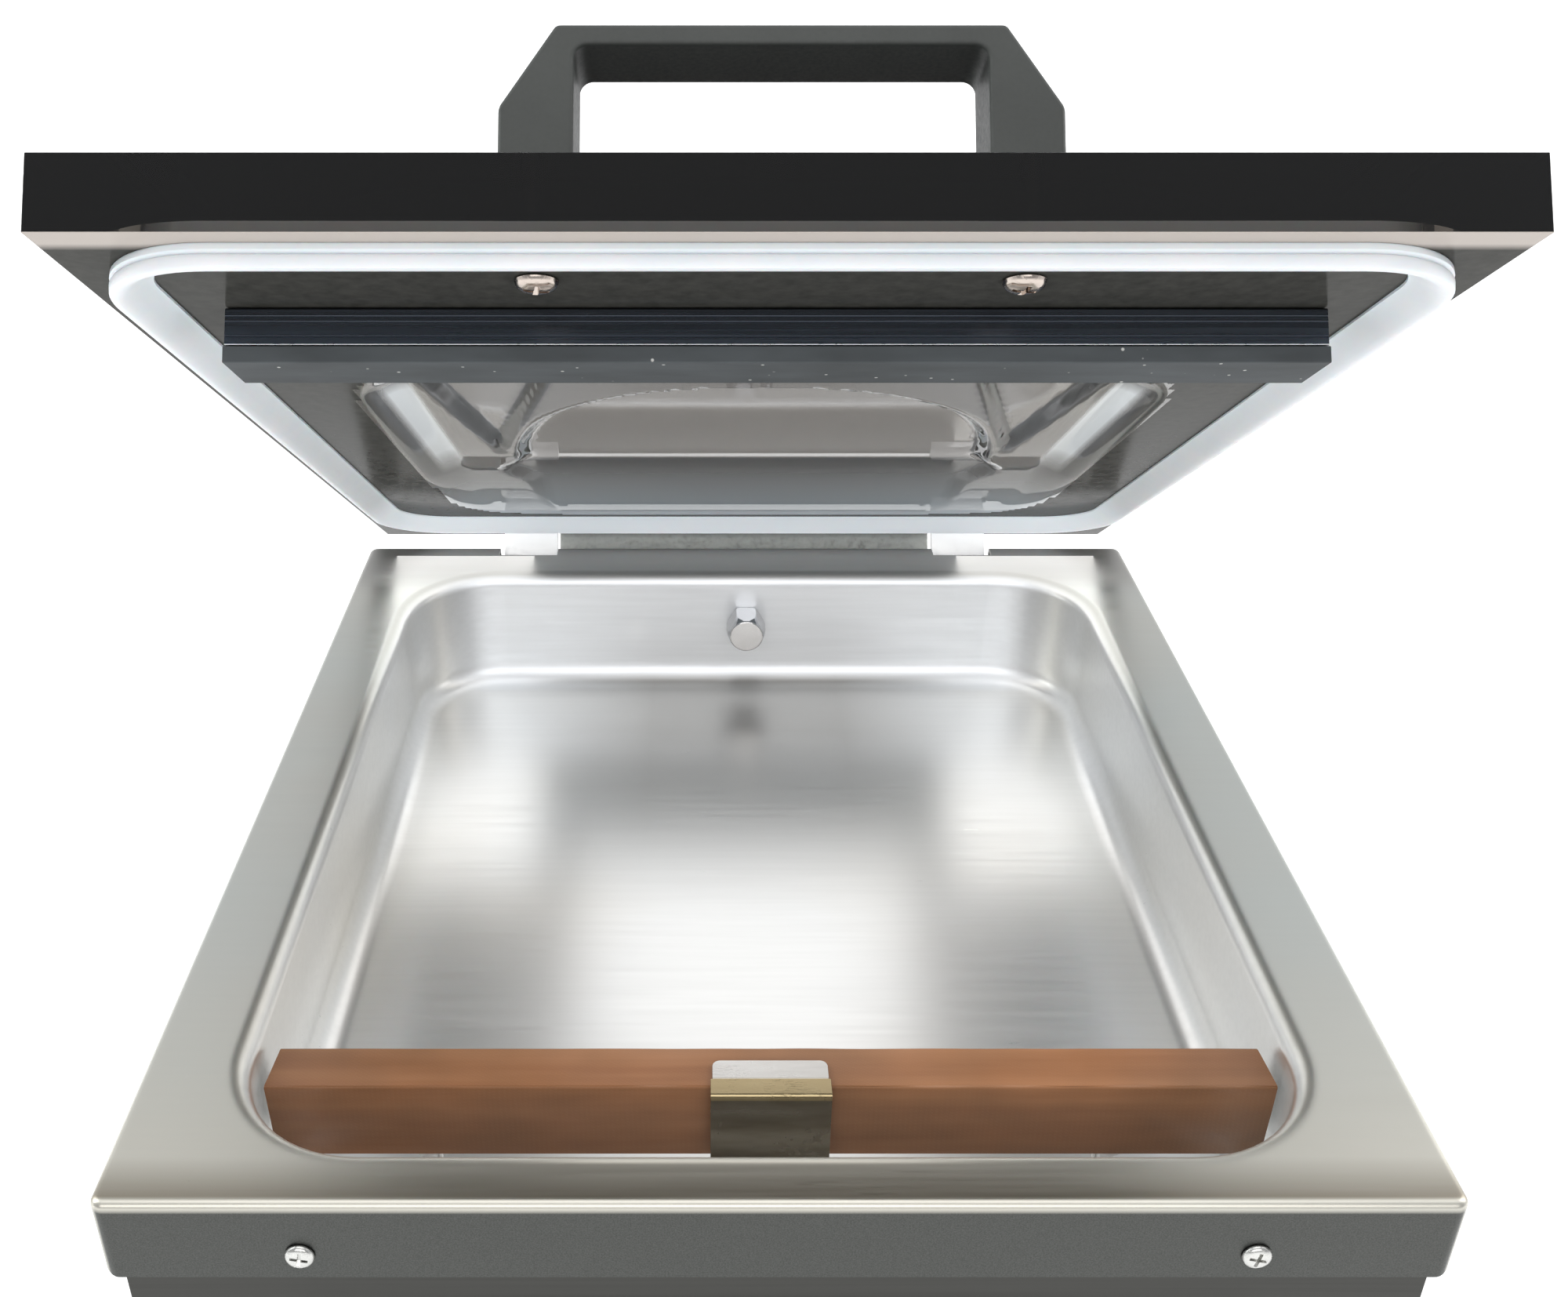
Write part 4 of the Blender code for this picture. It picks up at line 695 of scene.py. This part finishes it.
def make_tub():
    tub = object_of(loft(tub_rings(), ends=(False, True)), "deck_and_chamber")
    shell = tub.modifiers.new("sheet", "SOLIDIFY")
    shell.thickness = SHEET
    shell.offset = -1
    shell.use_even_offset = True
    apply_modifiers(tub)
    for side in (-1, 1):
        strap_low, strap_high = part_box("hinge_strap_right" if side > 0 else "hinge_strap_left")
        margin = 0.0010
        low = (strap_low.x - margin, BODY_REAR - 0.008, DECK_Z - 0.030)
        carve(tub, block(low, (strap_high.x + margin, BODY_REAR + 0.010, DECK_Z + 0.010)))
        screw_low, screw_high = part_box("lip_screw_right" if side > 0 else "lip_screw_left")
        centre = (screw_low + screw_high) / 2
        hole = moved(turned([(0.0024, -0.01), (0.0024, 0.01)], 24), Matrix.Rotation(-pi / 2, 4, "X"))
        carve(tub, moved(hole, Matrix.Translation((centre.x, BODY_FRONT, centre.z))))
        pin_low, pin_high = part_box("lift_pin_right" if side > 0 else "lift_pin_left")
        centre = (pin_low + pin_high) / 2
        hole = turned([(0.0035, -0.01), (0.0035, 0.01)], 32)
        carve(tub, moved(hole, Matrix.Translation((centre.x, centre.y, FLOOR_Z))))
    notch_half, notch_top = 0.122, DECK_Z - 0.005
    notch_low = (-notch_half, BODY_REAR - 0.004, DECK_Z - 0.030)
    carve(tub, block(notch_low, (notch_half, BODY_REAR + 0.010, notch_top)))
    nozzle_low, nozzle_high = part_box("vacuum_nozzle")
    hole = moved(turned([(0.0044, -0.01), (0.0044, 0.01)], 32), Matrix.Rotation(-pi / 2, 4, "X"))
    carve(tub, moved(hole, Matrix.Translation((0, CHAMBER_REAR, (nozzle_low.z + nozzle_high.z) / 2))))
    install(tub, SATIN_STEEL, "body", "stainless", "chamber_tub")


def domed_screw(name, radius, height, flat, shank, length, material, slot, matrix, body, node):
    """Domed cross-head screw. Its head stands along -Z from 0, and its shank runs along +Z."""
    profile = [(shank, length), (shank, 0.00002), (radius * 0.985, 0)]
    profile += [(radius, -0.00025), (radius * 0.985, -0.00045)]
    for step in range(1, 8):
        angle = pi / 2 * step / 8
        reach = flat + (radius * 0.97 - flat) * cos(angle)
        profile.append((reach, -0.00045 - (height - 0.00045) * sin(angle)))
    profile.append((flat * 0.6, -height))
    screw = object_of(turned(profile), name, matrix)
    arm, width, depth = radius * 0.60, radius * 0.12, height * 0.75
    for turn in (0, pi / 2):
        slot_outline = [(-arm, -width), (arm, -width), (arm, width), (-arm, width)]
        bottom = [(x * 0.55, y * 0.8) for x, y in slot_outline]
        cutter = loft([ring_at(slot_outline, -height - 0.001), ring_at(slot_outline, -height + 0.0001),
                       ring_at(bottom, -height + depth)])
        carve(screw, moved(cutter, Matrix.Rotation(turn + radians(12), 4, "Z")))
    install(screw, material, body, slot, node)


def make_screws():
    for side, sign in (("left", -1), ("right", 1)):
        low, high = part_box("lip_screw_" + side)
        place = Vector(((low.x + high.x) / 2, low.y + 0.0016, (low.z + high.z) / 2))
        matrix = Matrix.Translation(place) @ Matrix.Rotation(-pi / 2, 4, "X")
        domed_screw("lip_screw_head_" + side, 0.0037, 0.00155, 0.0017, 0.0018, 0.0072,
                    MATERIALS["zinc_steel"], "zinc_steel", matrix, "body", "lip_screw_" + side)
        low, high = local_box("handle_screw_" + side, LID)
        place = Vector(((low.x + high.x) / 2, (low.y + high.y) / 2, low.z + 0.0028))
        domed_screw("handle_screw_head_" + side, 0.0053, 0.0027, 0.0012, 0.0019, high.z - place.z - 0.0002,
                    SCREW_NICKEL, "chrome", LID @ Matrix.Translation(place), "lid", "handle_screw_" + side)


def make_nozzle():
    """Hexagon port: a faceted skirt whose corners run into a round flat face."""
    low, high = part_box("vacuum_nozzle")
    middle = Vector((0, low.y, (low.z + high.z) / 2))
    length = 0.0133
    blank = [(0.0030, 0.0), (0.0066, 0.0), (0.0070, 0.0003), (0.0079, 0.0030), (0.0083, 0.0062)]
    blank += [(0.0083, length - 0.0014), (0.0078, length - 0.0004), (0.0078, length - 0.0002)]
    matrix = Matrix.Translation(middle) @ Matrix.Rotation(-pi / 2, 4, "X")
    nozzle = object_of(turned(blank, 72), "suction_port", matrix)
    hexagon = circle(0.0083, sides=6)
    carve(nozzle, prism(hexagon, 0.040), "INTERSECT")
    round_edges(nozzle, 0.00022, 2, radians(25))
    stem = turned([(0.0040, length - 0.004), (0.0040, high.y - low.y)], 32)
    carve(nozzle, stem, "UNION")
    install(nozzle, NICKEL, "body", "chrome", "vacuum_nozzle")


# ---------------------------------------------------------------- seal bar and clip


def make_seal_cover():
    """Cloth drawn over the bar: round top edges, loose puckers, and ends cut a little askew."""
    low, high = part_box("ptfe_cover")
    half = (high.y - low.y) / 2
    middle, wall, edge = (low.y + high.y) / 2, 0.0007, 0.0011
    skirt = low.z - high.z
    inner = half - wall
    hem = skirt - 0.0024  # the cloth hangs lower in front
    outline = [(-half, hem), (-half, skirt * 0.7), (-half, skirt * 0.4), (-half, -edge * 2.2)]
    bends = [pi / 2 * i / 5 for i in range(6)]
    outline += [(-half + edge * (1 - cos(a)), -edge * (1 - sin(a))) for a in bends]
    outline += [(-half * 0.5, 0), (0, 0), (half * 0.5, 0)]
    outline += [(half - edge * (1 - sin(a)), -edge * (1 - cos(a))) for a in bends]
    outline += [(half, -edge * 2.2), (half, skirt * 0.5), (half, skirt), (inner, skirt), (inner, -wall)]
    outline += [(-inner, -wall), (-inner, hem)]
    stations = 150
    rings = []
    for i in range(stations + 1):
        share = i / stations
        ring = []
        for y, z in outline:
            lean = 0.0012 * (0.5 - y / (2 * half)) * (1 + z / -skirt * 0.4)
            reach = high.x - 0.0013 + lean
            x = -reach + 2 * reach * share
            outside = abs(y) > inner + 0.0001 or z > -wall * 0.5
            pucker = noise.noise(Vector((x * 55, y * 120, z * 70))) * 0.00022 if outside else 0.0
            fade = min(1.0, abs(z - (hem if y < 0 else skirt)) / 0.004)
            sink = 0.00024 - pucker * fade
            toward_y = (1 if y > 0 else -1) if abs(y) > inner else 0
            toward_z = 1 if z > -wall * 0.5 else 0
            if outside:
                ring.append((x, middle + y - toward_y * sink, high.z + z - toward_z * sink))
            else:
                ring.append((x, middle + y, high.z + z))
        rings.append(ring)
    cover = object_of(loft(rings), "seal_bar_cloth")
    install(cover, MATERIALS["ptfe_cloth"], "seal_bar", "ptfe_cloth", "ptfe_cover")


def make_clip():
    """Spring-steel clip: front plate, a rolled hem over the bar's edge, and a tab with round corners."""
    low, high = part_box("bag_clip")
    sheet, half = 0.0007, (high.x - low.x) / 2
    front, back = low.y, high.y
    top = high.z - 0.0005 - sheet  # underside of the tab
    hem_end = front + 0.0068
    outline = [(front + 0.0004, low.z), (front + 0.0011, low.z), (front + 0.0011, top)]
    outline += [(back, top), (back, top + sheet), (hem_end, top + sheet)]
    outline += [(hem_end - 0.0004, top + sheet + 0.0001)]
    outline += [(front + 0.0008, high.z), (front + 0.0003, high.z - 0.0001), (front, high.z - 0.0005)]
    outline += [(front, high.z - 0.0010), (front + 0.0004, high.z - 0.0013)]
    matrix = Matrix.Rotation(pi / 2, 4, "Z") @ Matrix.Rotation(pi / 2, 4, "X")
    clip = object_of(moved(prism(outline, 2 * half), matrix), "bag_clip_steel")
    corner = 0.0022
    plan = rounded(2 * half - 0.0010, 0.060, corner, (0, back - 0.030), 8)
    notch = loft([ring_at(plan, low.z - 0.002), ring_at(plan, high.z + 0.002)])
    tab_only = object_of(notch, "tab_plan")
    whole_low = (-half - 0.001, front - 0.001, low.z - 0.002)
    whole = block(whole_low, (half + 0.001, hem_end - 0.0002, high.z + 0.002))
    carve(tab_only, whole, "UNION")
    plan_mesh = bmesh.new()
    plan_mesh.from_mesh(tab_only.data)
    bpy.data.objects.remove(tab_only, do_unlink=True)
    carve(clip, plan_mesh, "INTERSECT")
    round_edges(clip, 0.00010, 2)
    install(clip, CLIP_STEEL, "bag_clip", "zinc_steel", "bag_clip")


# ---------------------------------------------------------------- lid


def smooth(share):
    share = max(0.0, min(1.0, share))
    return share * share * (3 - 2 * share)


HOLLOW_HALF = 0.124
HOLLOW_START, HOLLOW_END = 0.098, 0.344  # from the lid's front edge
ARCH_HALF = 0.088
ARCH_START, ARCH_WIDEST = 0.150, 0.270
WEDGE_START, WEDGE_END = 0.143, 0.247


def corner_distance(x, s, half, start, end, radius):
    """How far a point is inside a rectangle with round corners."""
    dx = half - radius - abs(x)
    dy = (end - start) / 2 - radius - abs(s - (start + end) / 2)
    if dx < 0 and dy < 0:
        return radius - hypot(dx, dy)
    return radius + min(dx, dy)


def arch_half_width(s):
    """The inner pocket is an arch that closes towards the front, with an ear at each foot."""
    if s < ARCH_WIDEST:
        along = min(1.0, (ARCH_WIDEST - s) / (ARCH_WIDEST - ARCH_START))
        half = ARCH_HALF * (1 - along**2.3) ** 0.435
    else:
        half = ARCH_HALF - 0.006 * (s - ARCH_WIDEST) / (HOLLOW_END - ARCH_WIDEST)
    return half + 0.008 * exp(-(((s - 0.274) / 0.010) ** 2))


def hollow_depth(x, s):
    """The lid's underside: a dished recess, an arch-shaped pocket and a wedge at each side of it."""
    inside = corner_distance(x, s, HOLLOW_HALF, HOLLOW_START, HOLLOW_END + 0.010, 0.050)
    if inside <= 0 or s >= HOLLOW_END:
        return 0.0
    depth = 0.0050 * smooth(inside / 0.014)
    depth += 0.0036 * smooth((arch_half_width(s) - abs(x)) / 0.0055 + 0.2)
    share = (WEDGE_END - s) / (WEDGE_END - WEDGE_START)
    wedge = 0.0195 * share - abs(abs(x) - 0.093 + 0.0075 * share)
    depth += 0.0024 * smooth(wedge / 0.0045) * smooth((inside - 0.004) / 0.010)
    return min(0.0138, depth * smooth((HOLLOW_END - s) / 0.080))


def spaced(low, high, fine_low, fine_high, coarse, fine):
    """Stations from low to high, close together in the fine stretch."""
    values = [low]
    while values[-1] < high - 1e-6:
        here = values[-1]
        step = fine if fine_low - coarse < here < fine_high else coarse
        values.append(min(high, here + step))
    return values


GROOVE_RISE = 0.0042
GROOVE_OUT, GROOVE_IN = 0.0010, 0.0078


def gasket_ring(inset, z):
    low, high = local_box("lid_gasket", LID)
    middle = (0, (low.y + high.y) / 2)
    width, depth = high.x - low.x, high.y - low.y
    return ring_at(rounded(width - 2 * inset, depth - 2 * inset, 0.030 - inset, middle, 18), z)


def make_lid():
    """Thick panel with a dished underside and a groove for the gasket's root."""
    width = LID_HIGH.x
    xs = spaced(-width, width, -HOLLOW_HALF, HOLLOW_HALF, 0.010, 0.0022)
    rear = LID_HIGH.y - 0.0004  # keeps the rear edge inside the CAD lid's bevelled one
    ys = spaced(LID_FRONT, rear, LID_FRONT + HOLLOW_START, LID_FRONT + HOLLOW_END, 0.010, 0.0022)
    bm = bmesh.new()
    grid = [[bm.verts.new((x, y, LID_UNDER + hollow_depth(x, y - LID_FRONT))) for x in xs] for y in ys]
    for row, after in zip(grid, grid[1:]):
        for i in range(len(xs) - 1):
            bm.faces.new((row[i], after[i], after[i + 1], row[i + 1]))
    edge = grid[0] + [row[-1] for row in grid[1:]] + grid[-1][-2::-1] + [row[0] for row in grid[-2:0:-1]]
    crest = [bm.verts.new((vertex.co.x, vertex.co.y, LID_TOP)) for vertex in edge]
    for i in range(len(edge)):
        j = (i + 1) % len(edge)
        bm.faces.new((edge[i], edge[j], crest[j], crest[i]))
    bm.faces.new(crest)
    lid = object_of(bm, "smoked_lid", LID)
    round_edges(lid, 0.0012, 3, radians(60))
    low, high = LID_UNDER - 0.003, LID_UNDER + GROOVE_RISE
    groove = loft([gasket_ring(GROOVE_OUT, low), gasket_ring(GROOVE_OUT, high),
                   gasket_ring(GROOVE_IN, high), gasket_ring(GROOVE_IN, low)], loop=True)
    carve(lid, groove)
    for side in ("left", "right"):
        screw_low, screw_high = local_box("handle_screw_" + side, LID)
        centre = (screw_low + screw_high) / 2
        hole = turned([(0.0023, LID_UNDER - 0.005), (0.0023, LID_TOP + 0.005)], 24)
        carve(lid, moved(hole, Matrix.Translation((centre.x, centre.y, 0))))
    install(lid, MATERIALS["smoked_acrylic"], "lid", "smoked_acrylic", "lid_panel")
    lid.data.materials.append(DULL_ACRYLIC)
    # The flat underside and the front lower edge take the dull material, whose front strip is painted light.
    for polygon in lid.data.polygons:
        flat_under = polygon.normal.z < -0.9999 and polygon.center.z < LID_UNDER + 0.0001
        front_edge = polygon.normal.z < -0.1 and polygon.center.y < LID_FRONT + 0.0015
        polygon.material_index = 1 if flat_under or front_edge else 0


def make_gasket():
    """Silicone seal: a root in the lid's groove, a grooved outer wall and a soft sloping lip."""
    low, high = local_box("lid_gasket", LID)
    tip, seat = low.z, LID_UNDER - AIR
    root = LID_UNDER + GROOVE_RISE - AIR
    section = [(GROOVE_OUT + AIR, root), (GROOVE_OUT + AIR, seat), (0.0004, seat), (0.0001, seat - 0.0004)]
    section += [(0.0000, seat - 0.0016), (0.0003, seat - 0.0021), (0.0009, seat - 0.0024)]
    section += [(0.0003, seat - 0.0027), (0.0000, seat - 0.0033), (0.0001, tip + 0.0008)]
    section += [(0.0005, tip + 0.0002), (0.0012, tip), (0.0024, tip + 0.0001), (0.0040, tip + 0.0010)]
    section += [(0.0062, tip + 0.0027), (0.0085, seat - 0.0012), (0.0098, seat - 0.0006)]
    section += [(0.0099, seat), (GROOVE_IN - AIR, seat), (GROOVE_IN - AIR, root)]
    rings = [gasket_ring(inset, z) for inset, z in section]
    gasket = object_of(loft(rings, loop=True), "silicone_seal", LID)
    install(gasket, MATERIALS["white_silicone"], "lid", "white_silicone", "lid_gasket")


def make_counter_bar():
    """Drawn channel with fine lines along its web, a bright metal strip along its lower edge as a painted
    highlight, and the rubber under it.
    """
    low, high = local_box("counter_bar_holder", LID)
    sheet, half, soft = 0.0020, high.x, 0.0005
    web, back, foot, top = low.y, low.y + 0.0020, low.z, high.z
    outline = [(web + soft, top), (web, top - soft)]
    for z in (top - 0.0022, top - 0.0036, foot + 0.0022):
        outline += [(web, z + 0.0002), (web + 0.0002, z), (web, z - 0.0002)]
    outline += [(web, foot + 0.0002), (web + 0.0002, foot), (high.y, foot), (high.y, foot + sheet)]
    outline += [(back, foot + sheet), (back, top - sheet), (high.y, top - sheet), (high.y, top)]
    matrix = LID @ Matrix.Rotation(pi / 2, 4, "Z") @ Matrix.Rotation(pi / 2, 4, "X")
    bar = object_of(prism(outline, 2 * half), "counter_bar_channel", matrix)
    install(bar, MATERIALS["dark_anodised"], "lid", "dark_anodised", "counter_bar_holder")
    # painted highlight: a bright metal strip along the web's lower edge stands in for its highlight
    edge_low = (-half, web - 0.00012, foot + 0.00004)
    edge = object_of(block(edge_low, (half, web - AIR, foot + 0.00032)), "counter_bar_worn_edge", LID)
    round_edges(edge, 0.00003, 2)
    install(edge, EDGE_HIGHLIGHT_METAL, "lid", "dark_anodised")
    low, high = local_box("counter_bar_rubber", LID)
    pad = object_of(block(low, high), "counter_bar_pad", LID)
    round_edges(pad, 0.00035, 3)
    install(pad, DUSTY_RUBBER, "lid", "black_rubber", "counter_bar_rubber")


def make_handle():
    """Moulded loop with chamfered shoulders, round inner corners and soft edges."""
    low, high = local_box("handle", LID)
    base, crest, leg, grip = high.x, 0.0525, 0.0175, 0.0050
    height, shoulder, radius = high.z - low.z, 0.0195, 0.0033
    inner, top = base - leg, height - grip
    outline = [(inner, 0), (base, 0), (base, shoulder), (crest, height)]
    outline += [(-crest, height), (-base, shoulder), (-base, 0), (-inner, 0)]
    for middle_x, first in ((-inner + radius, pi), (inner - radius, pi / 2)):
        for step in range(11):
            angle = first - pi / 2 * step / 10
            outline.append((middle_x + radius * cos(angle), top - radius + radius * sin(angle)))
    matrix = LID @ Matrix.Translation((0, (low.y + high.y) / 2, low.z)) @ Matrix.Rotation(pi / 2, 4, "X")
    handle = object_of(prism(outline, high.y - low.y), "loop_handle", matrix)
    for side in (-1, 1):
        hole = moved(turned([(0.0024, -0.002), (0.0024, 0.0125)], 24), Matrix.Rotation(-pi / 2, 4, "X"))
        carve(handle, moved(hole, Matrix.Translation((side * 0.0575, 0, 0))))
    round_edges(handle, 0.0011, 4, radians(25))
    install(handle, MATERIALS["grey_plastic"], "lid", "grey_plastic", "handle")


# ---------------------------------------------------------------- floor, light and camera


def make_stage():
    bm = bmesh.new()
    bmesh.ops.create_grid(bm, x_segments=1, y_segments=1, size=9.0)
    floor = object_of(bm, "floor")
    surface = Surface("pale_floor", Roughness=0.75)
    cloud = surface.remap(surface.noise(1.2, 2.0), 0.3, 0.7)
    surface.colour(surface.mix(cloud, (0.96, 0.96, 0.96), (0.98, 0.98, 0.98)))
    surface.shader.inputs["Emission Color"].default_value = (1.0, 1.0, 1.0, 1.0)
    surface.shader.inputs["Emission Strength"].default_value = 0.28
    floor.data.materials.append(surface.material)


def area_light(name, place, target, width, height, power, colour=(1, 1, 1)):
    data = bpy.data.lights.new(name, "AREA")
    data.shape = "RECTANGLE"
    data.size = width
    data.size_y = height
    data.energy = power
    data.color = colour
    lamp = bpy.data.objects.new(name, data)
    lamp.location = place
    lamp.rotation_euler = (Vector(target) - Vector(place)).to_track_quat("-Z", "Y").to_euler()
    bpy.context.scene.collection.objects.link(lamp)


def chamber_light(name, x, station, width, length, radiance):
    """A soft panel close under the lid, facing down, for light that comes in through the lid."""
    place = LID @ Vector((x, LID_FRONT + station, LID_UNDER - 0.017))
    below = LID @ Vector((x, LID_FRONT + station, LID_UNDER - 1.0))
    area_light(name, place, below, width, length, radiance * pi * width * length)
    bpy.data.objects[name].visible_camera = False


MACHINE_MIDDLE = (0, 0, 0.25)
LAMPS = (
    # name, place, aimed at, width, height, watts, colour
    ("overhead", (0.0, -0.3, 2.2), MACHINE_MIDDLE, 1.8, 1.4, 10, (1, 1, 1)),
    ("left_window", (-1.5, 0.1, 1.1), MACHINE_MIDDLE, 1.0, 1.4, 13, (0.96, 1.0, 0.98)),
    ("right_window", (1.5, 0.3, 1.1), MACHINE_MIDDLE, 1.0, 1.4, 14, (1.0, 0.99, 0.97)),
    ("front_fill", (0.0, -2.2, 1.4), MACHINE_MIDDLE, 2.4, 1.2, 22, (1.0, 0.99, 0.97)),
    ("backdrop", (0.0, 3.2, 3.0), (0, 6.5, 0), 8.0, 4.0, 170, (1, 1, 1)),
)
CHAMBER_PANELS = (
    # name, x, distance behind the lid's front edge, width, length, radiance
    ("chamber_front", 0.0, 0.222, 0.15, 0.160, 1.10),
    ("chamber_left", -0.122, 0.324, 0.060, 0.090, 1.45),
    ("chamber_right", 0.122, 0.324, 0.060, 0.090, 1.45),
)
WORLD_COLOUR = (0.97, 0.98, 1.0, 1.0)
WORLD_FADE = (-0.9, 0.3, 0.36, 0.82)  # from this y to this y of direction, this strength to this


def make_light():
    for lamp in LAMPS:
        area_light(*lamp)
    for panel in CHAMBER_PANELS:
        chamber_light(*panel)
    world = bpy.data.worlds.new("studio")
    world.use_nodes = True
    tree = world.node_tree
    background = tree.nodes["Background"]
    background.inputs["Color"].default_value = WORLD_COLOUR
    place = tree.nodes.new("ShaderNodeTexCoord").outputs["Generated"]
    axes = tree.nodes.new("ShaderNodeSeparateXYZ")
    fade = tree.nodes.new("ShaderNodeMapRange")
    for key, number in zip(RANGE_SOCKETS, WORLD_FADE):
        fade.inputs[key].default_value = number
    tree.links.new(place, axes.inputs["Vector"])
    tree.links.new(axes.outputs["Y"], fade.inputs["Value"])
    tree.links.new(fade.outputs["Result"], background.inputs["Strength"])
    bpy.context.scene.world = world
    bpy.context.scene.view_settings.view_transform = "Standard"


CAMERA_LENS = 36.0  # mm, on a sensor as wide
CAMERA_SHIFT = 0.051
CAMERA_PLACE = (-0.018, BODY_FRONT - 0.262, DECK_Z + 0.2956)
CAMERA_TILT = 28.9  # degrees below level


def make_camera():
    """In front of the machine and above it, looking down at the open chamber."""
    data = bpy.data.cameras.new("camera")
    data.lens = CAMERA_LENS
    data.sensor_width = CAMERA_LENS
    data.shift_x = CAMERA_SHIFT
    camera = bpy.data.objects.new("camera", data)
    camera.location = CAMERA_PLACE
    camera.rotation_euler = (radians(90 - CAMERA_TILT), 0, 0)
    bpy.context.scene.collection.objects.link(camera)
    bpy.context.scene.camera = camera


make_camera()
make_stage()
make_light()
finish_cad_nodes()
make_tub()
make_screws()
make_nozzle()
make_seal_cover()
make_clip()
make_lid()
make_gasket()
make_counter_bar()
make_handle()
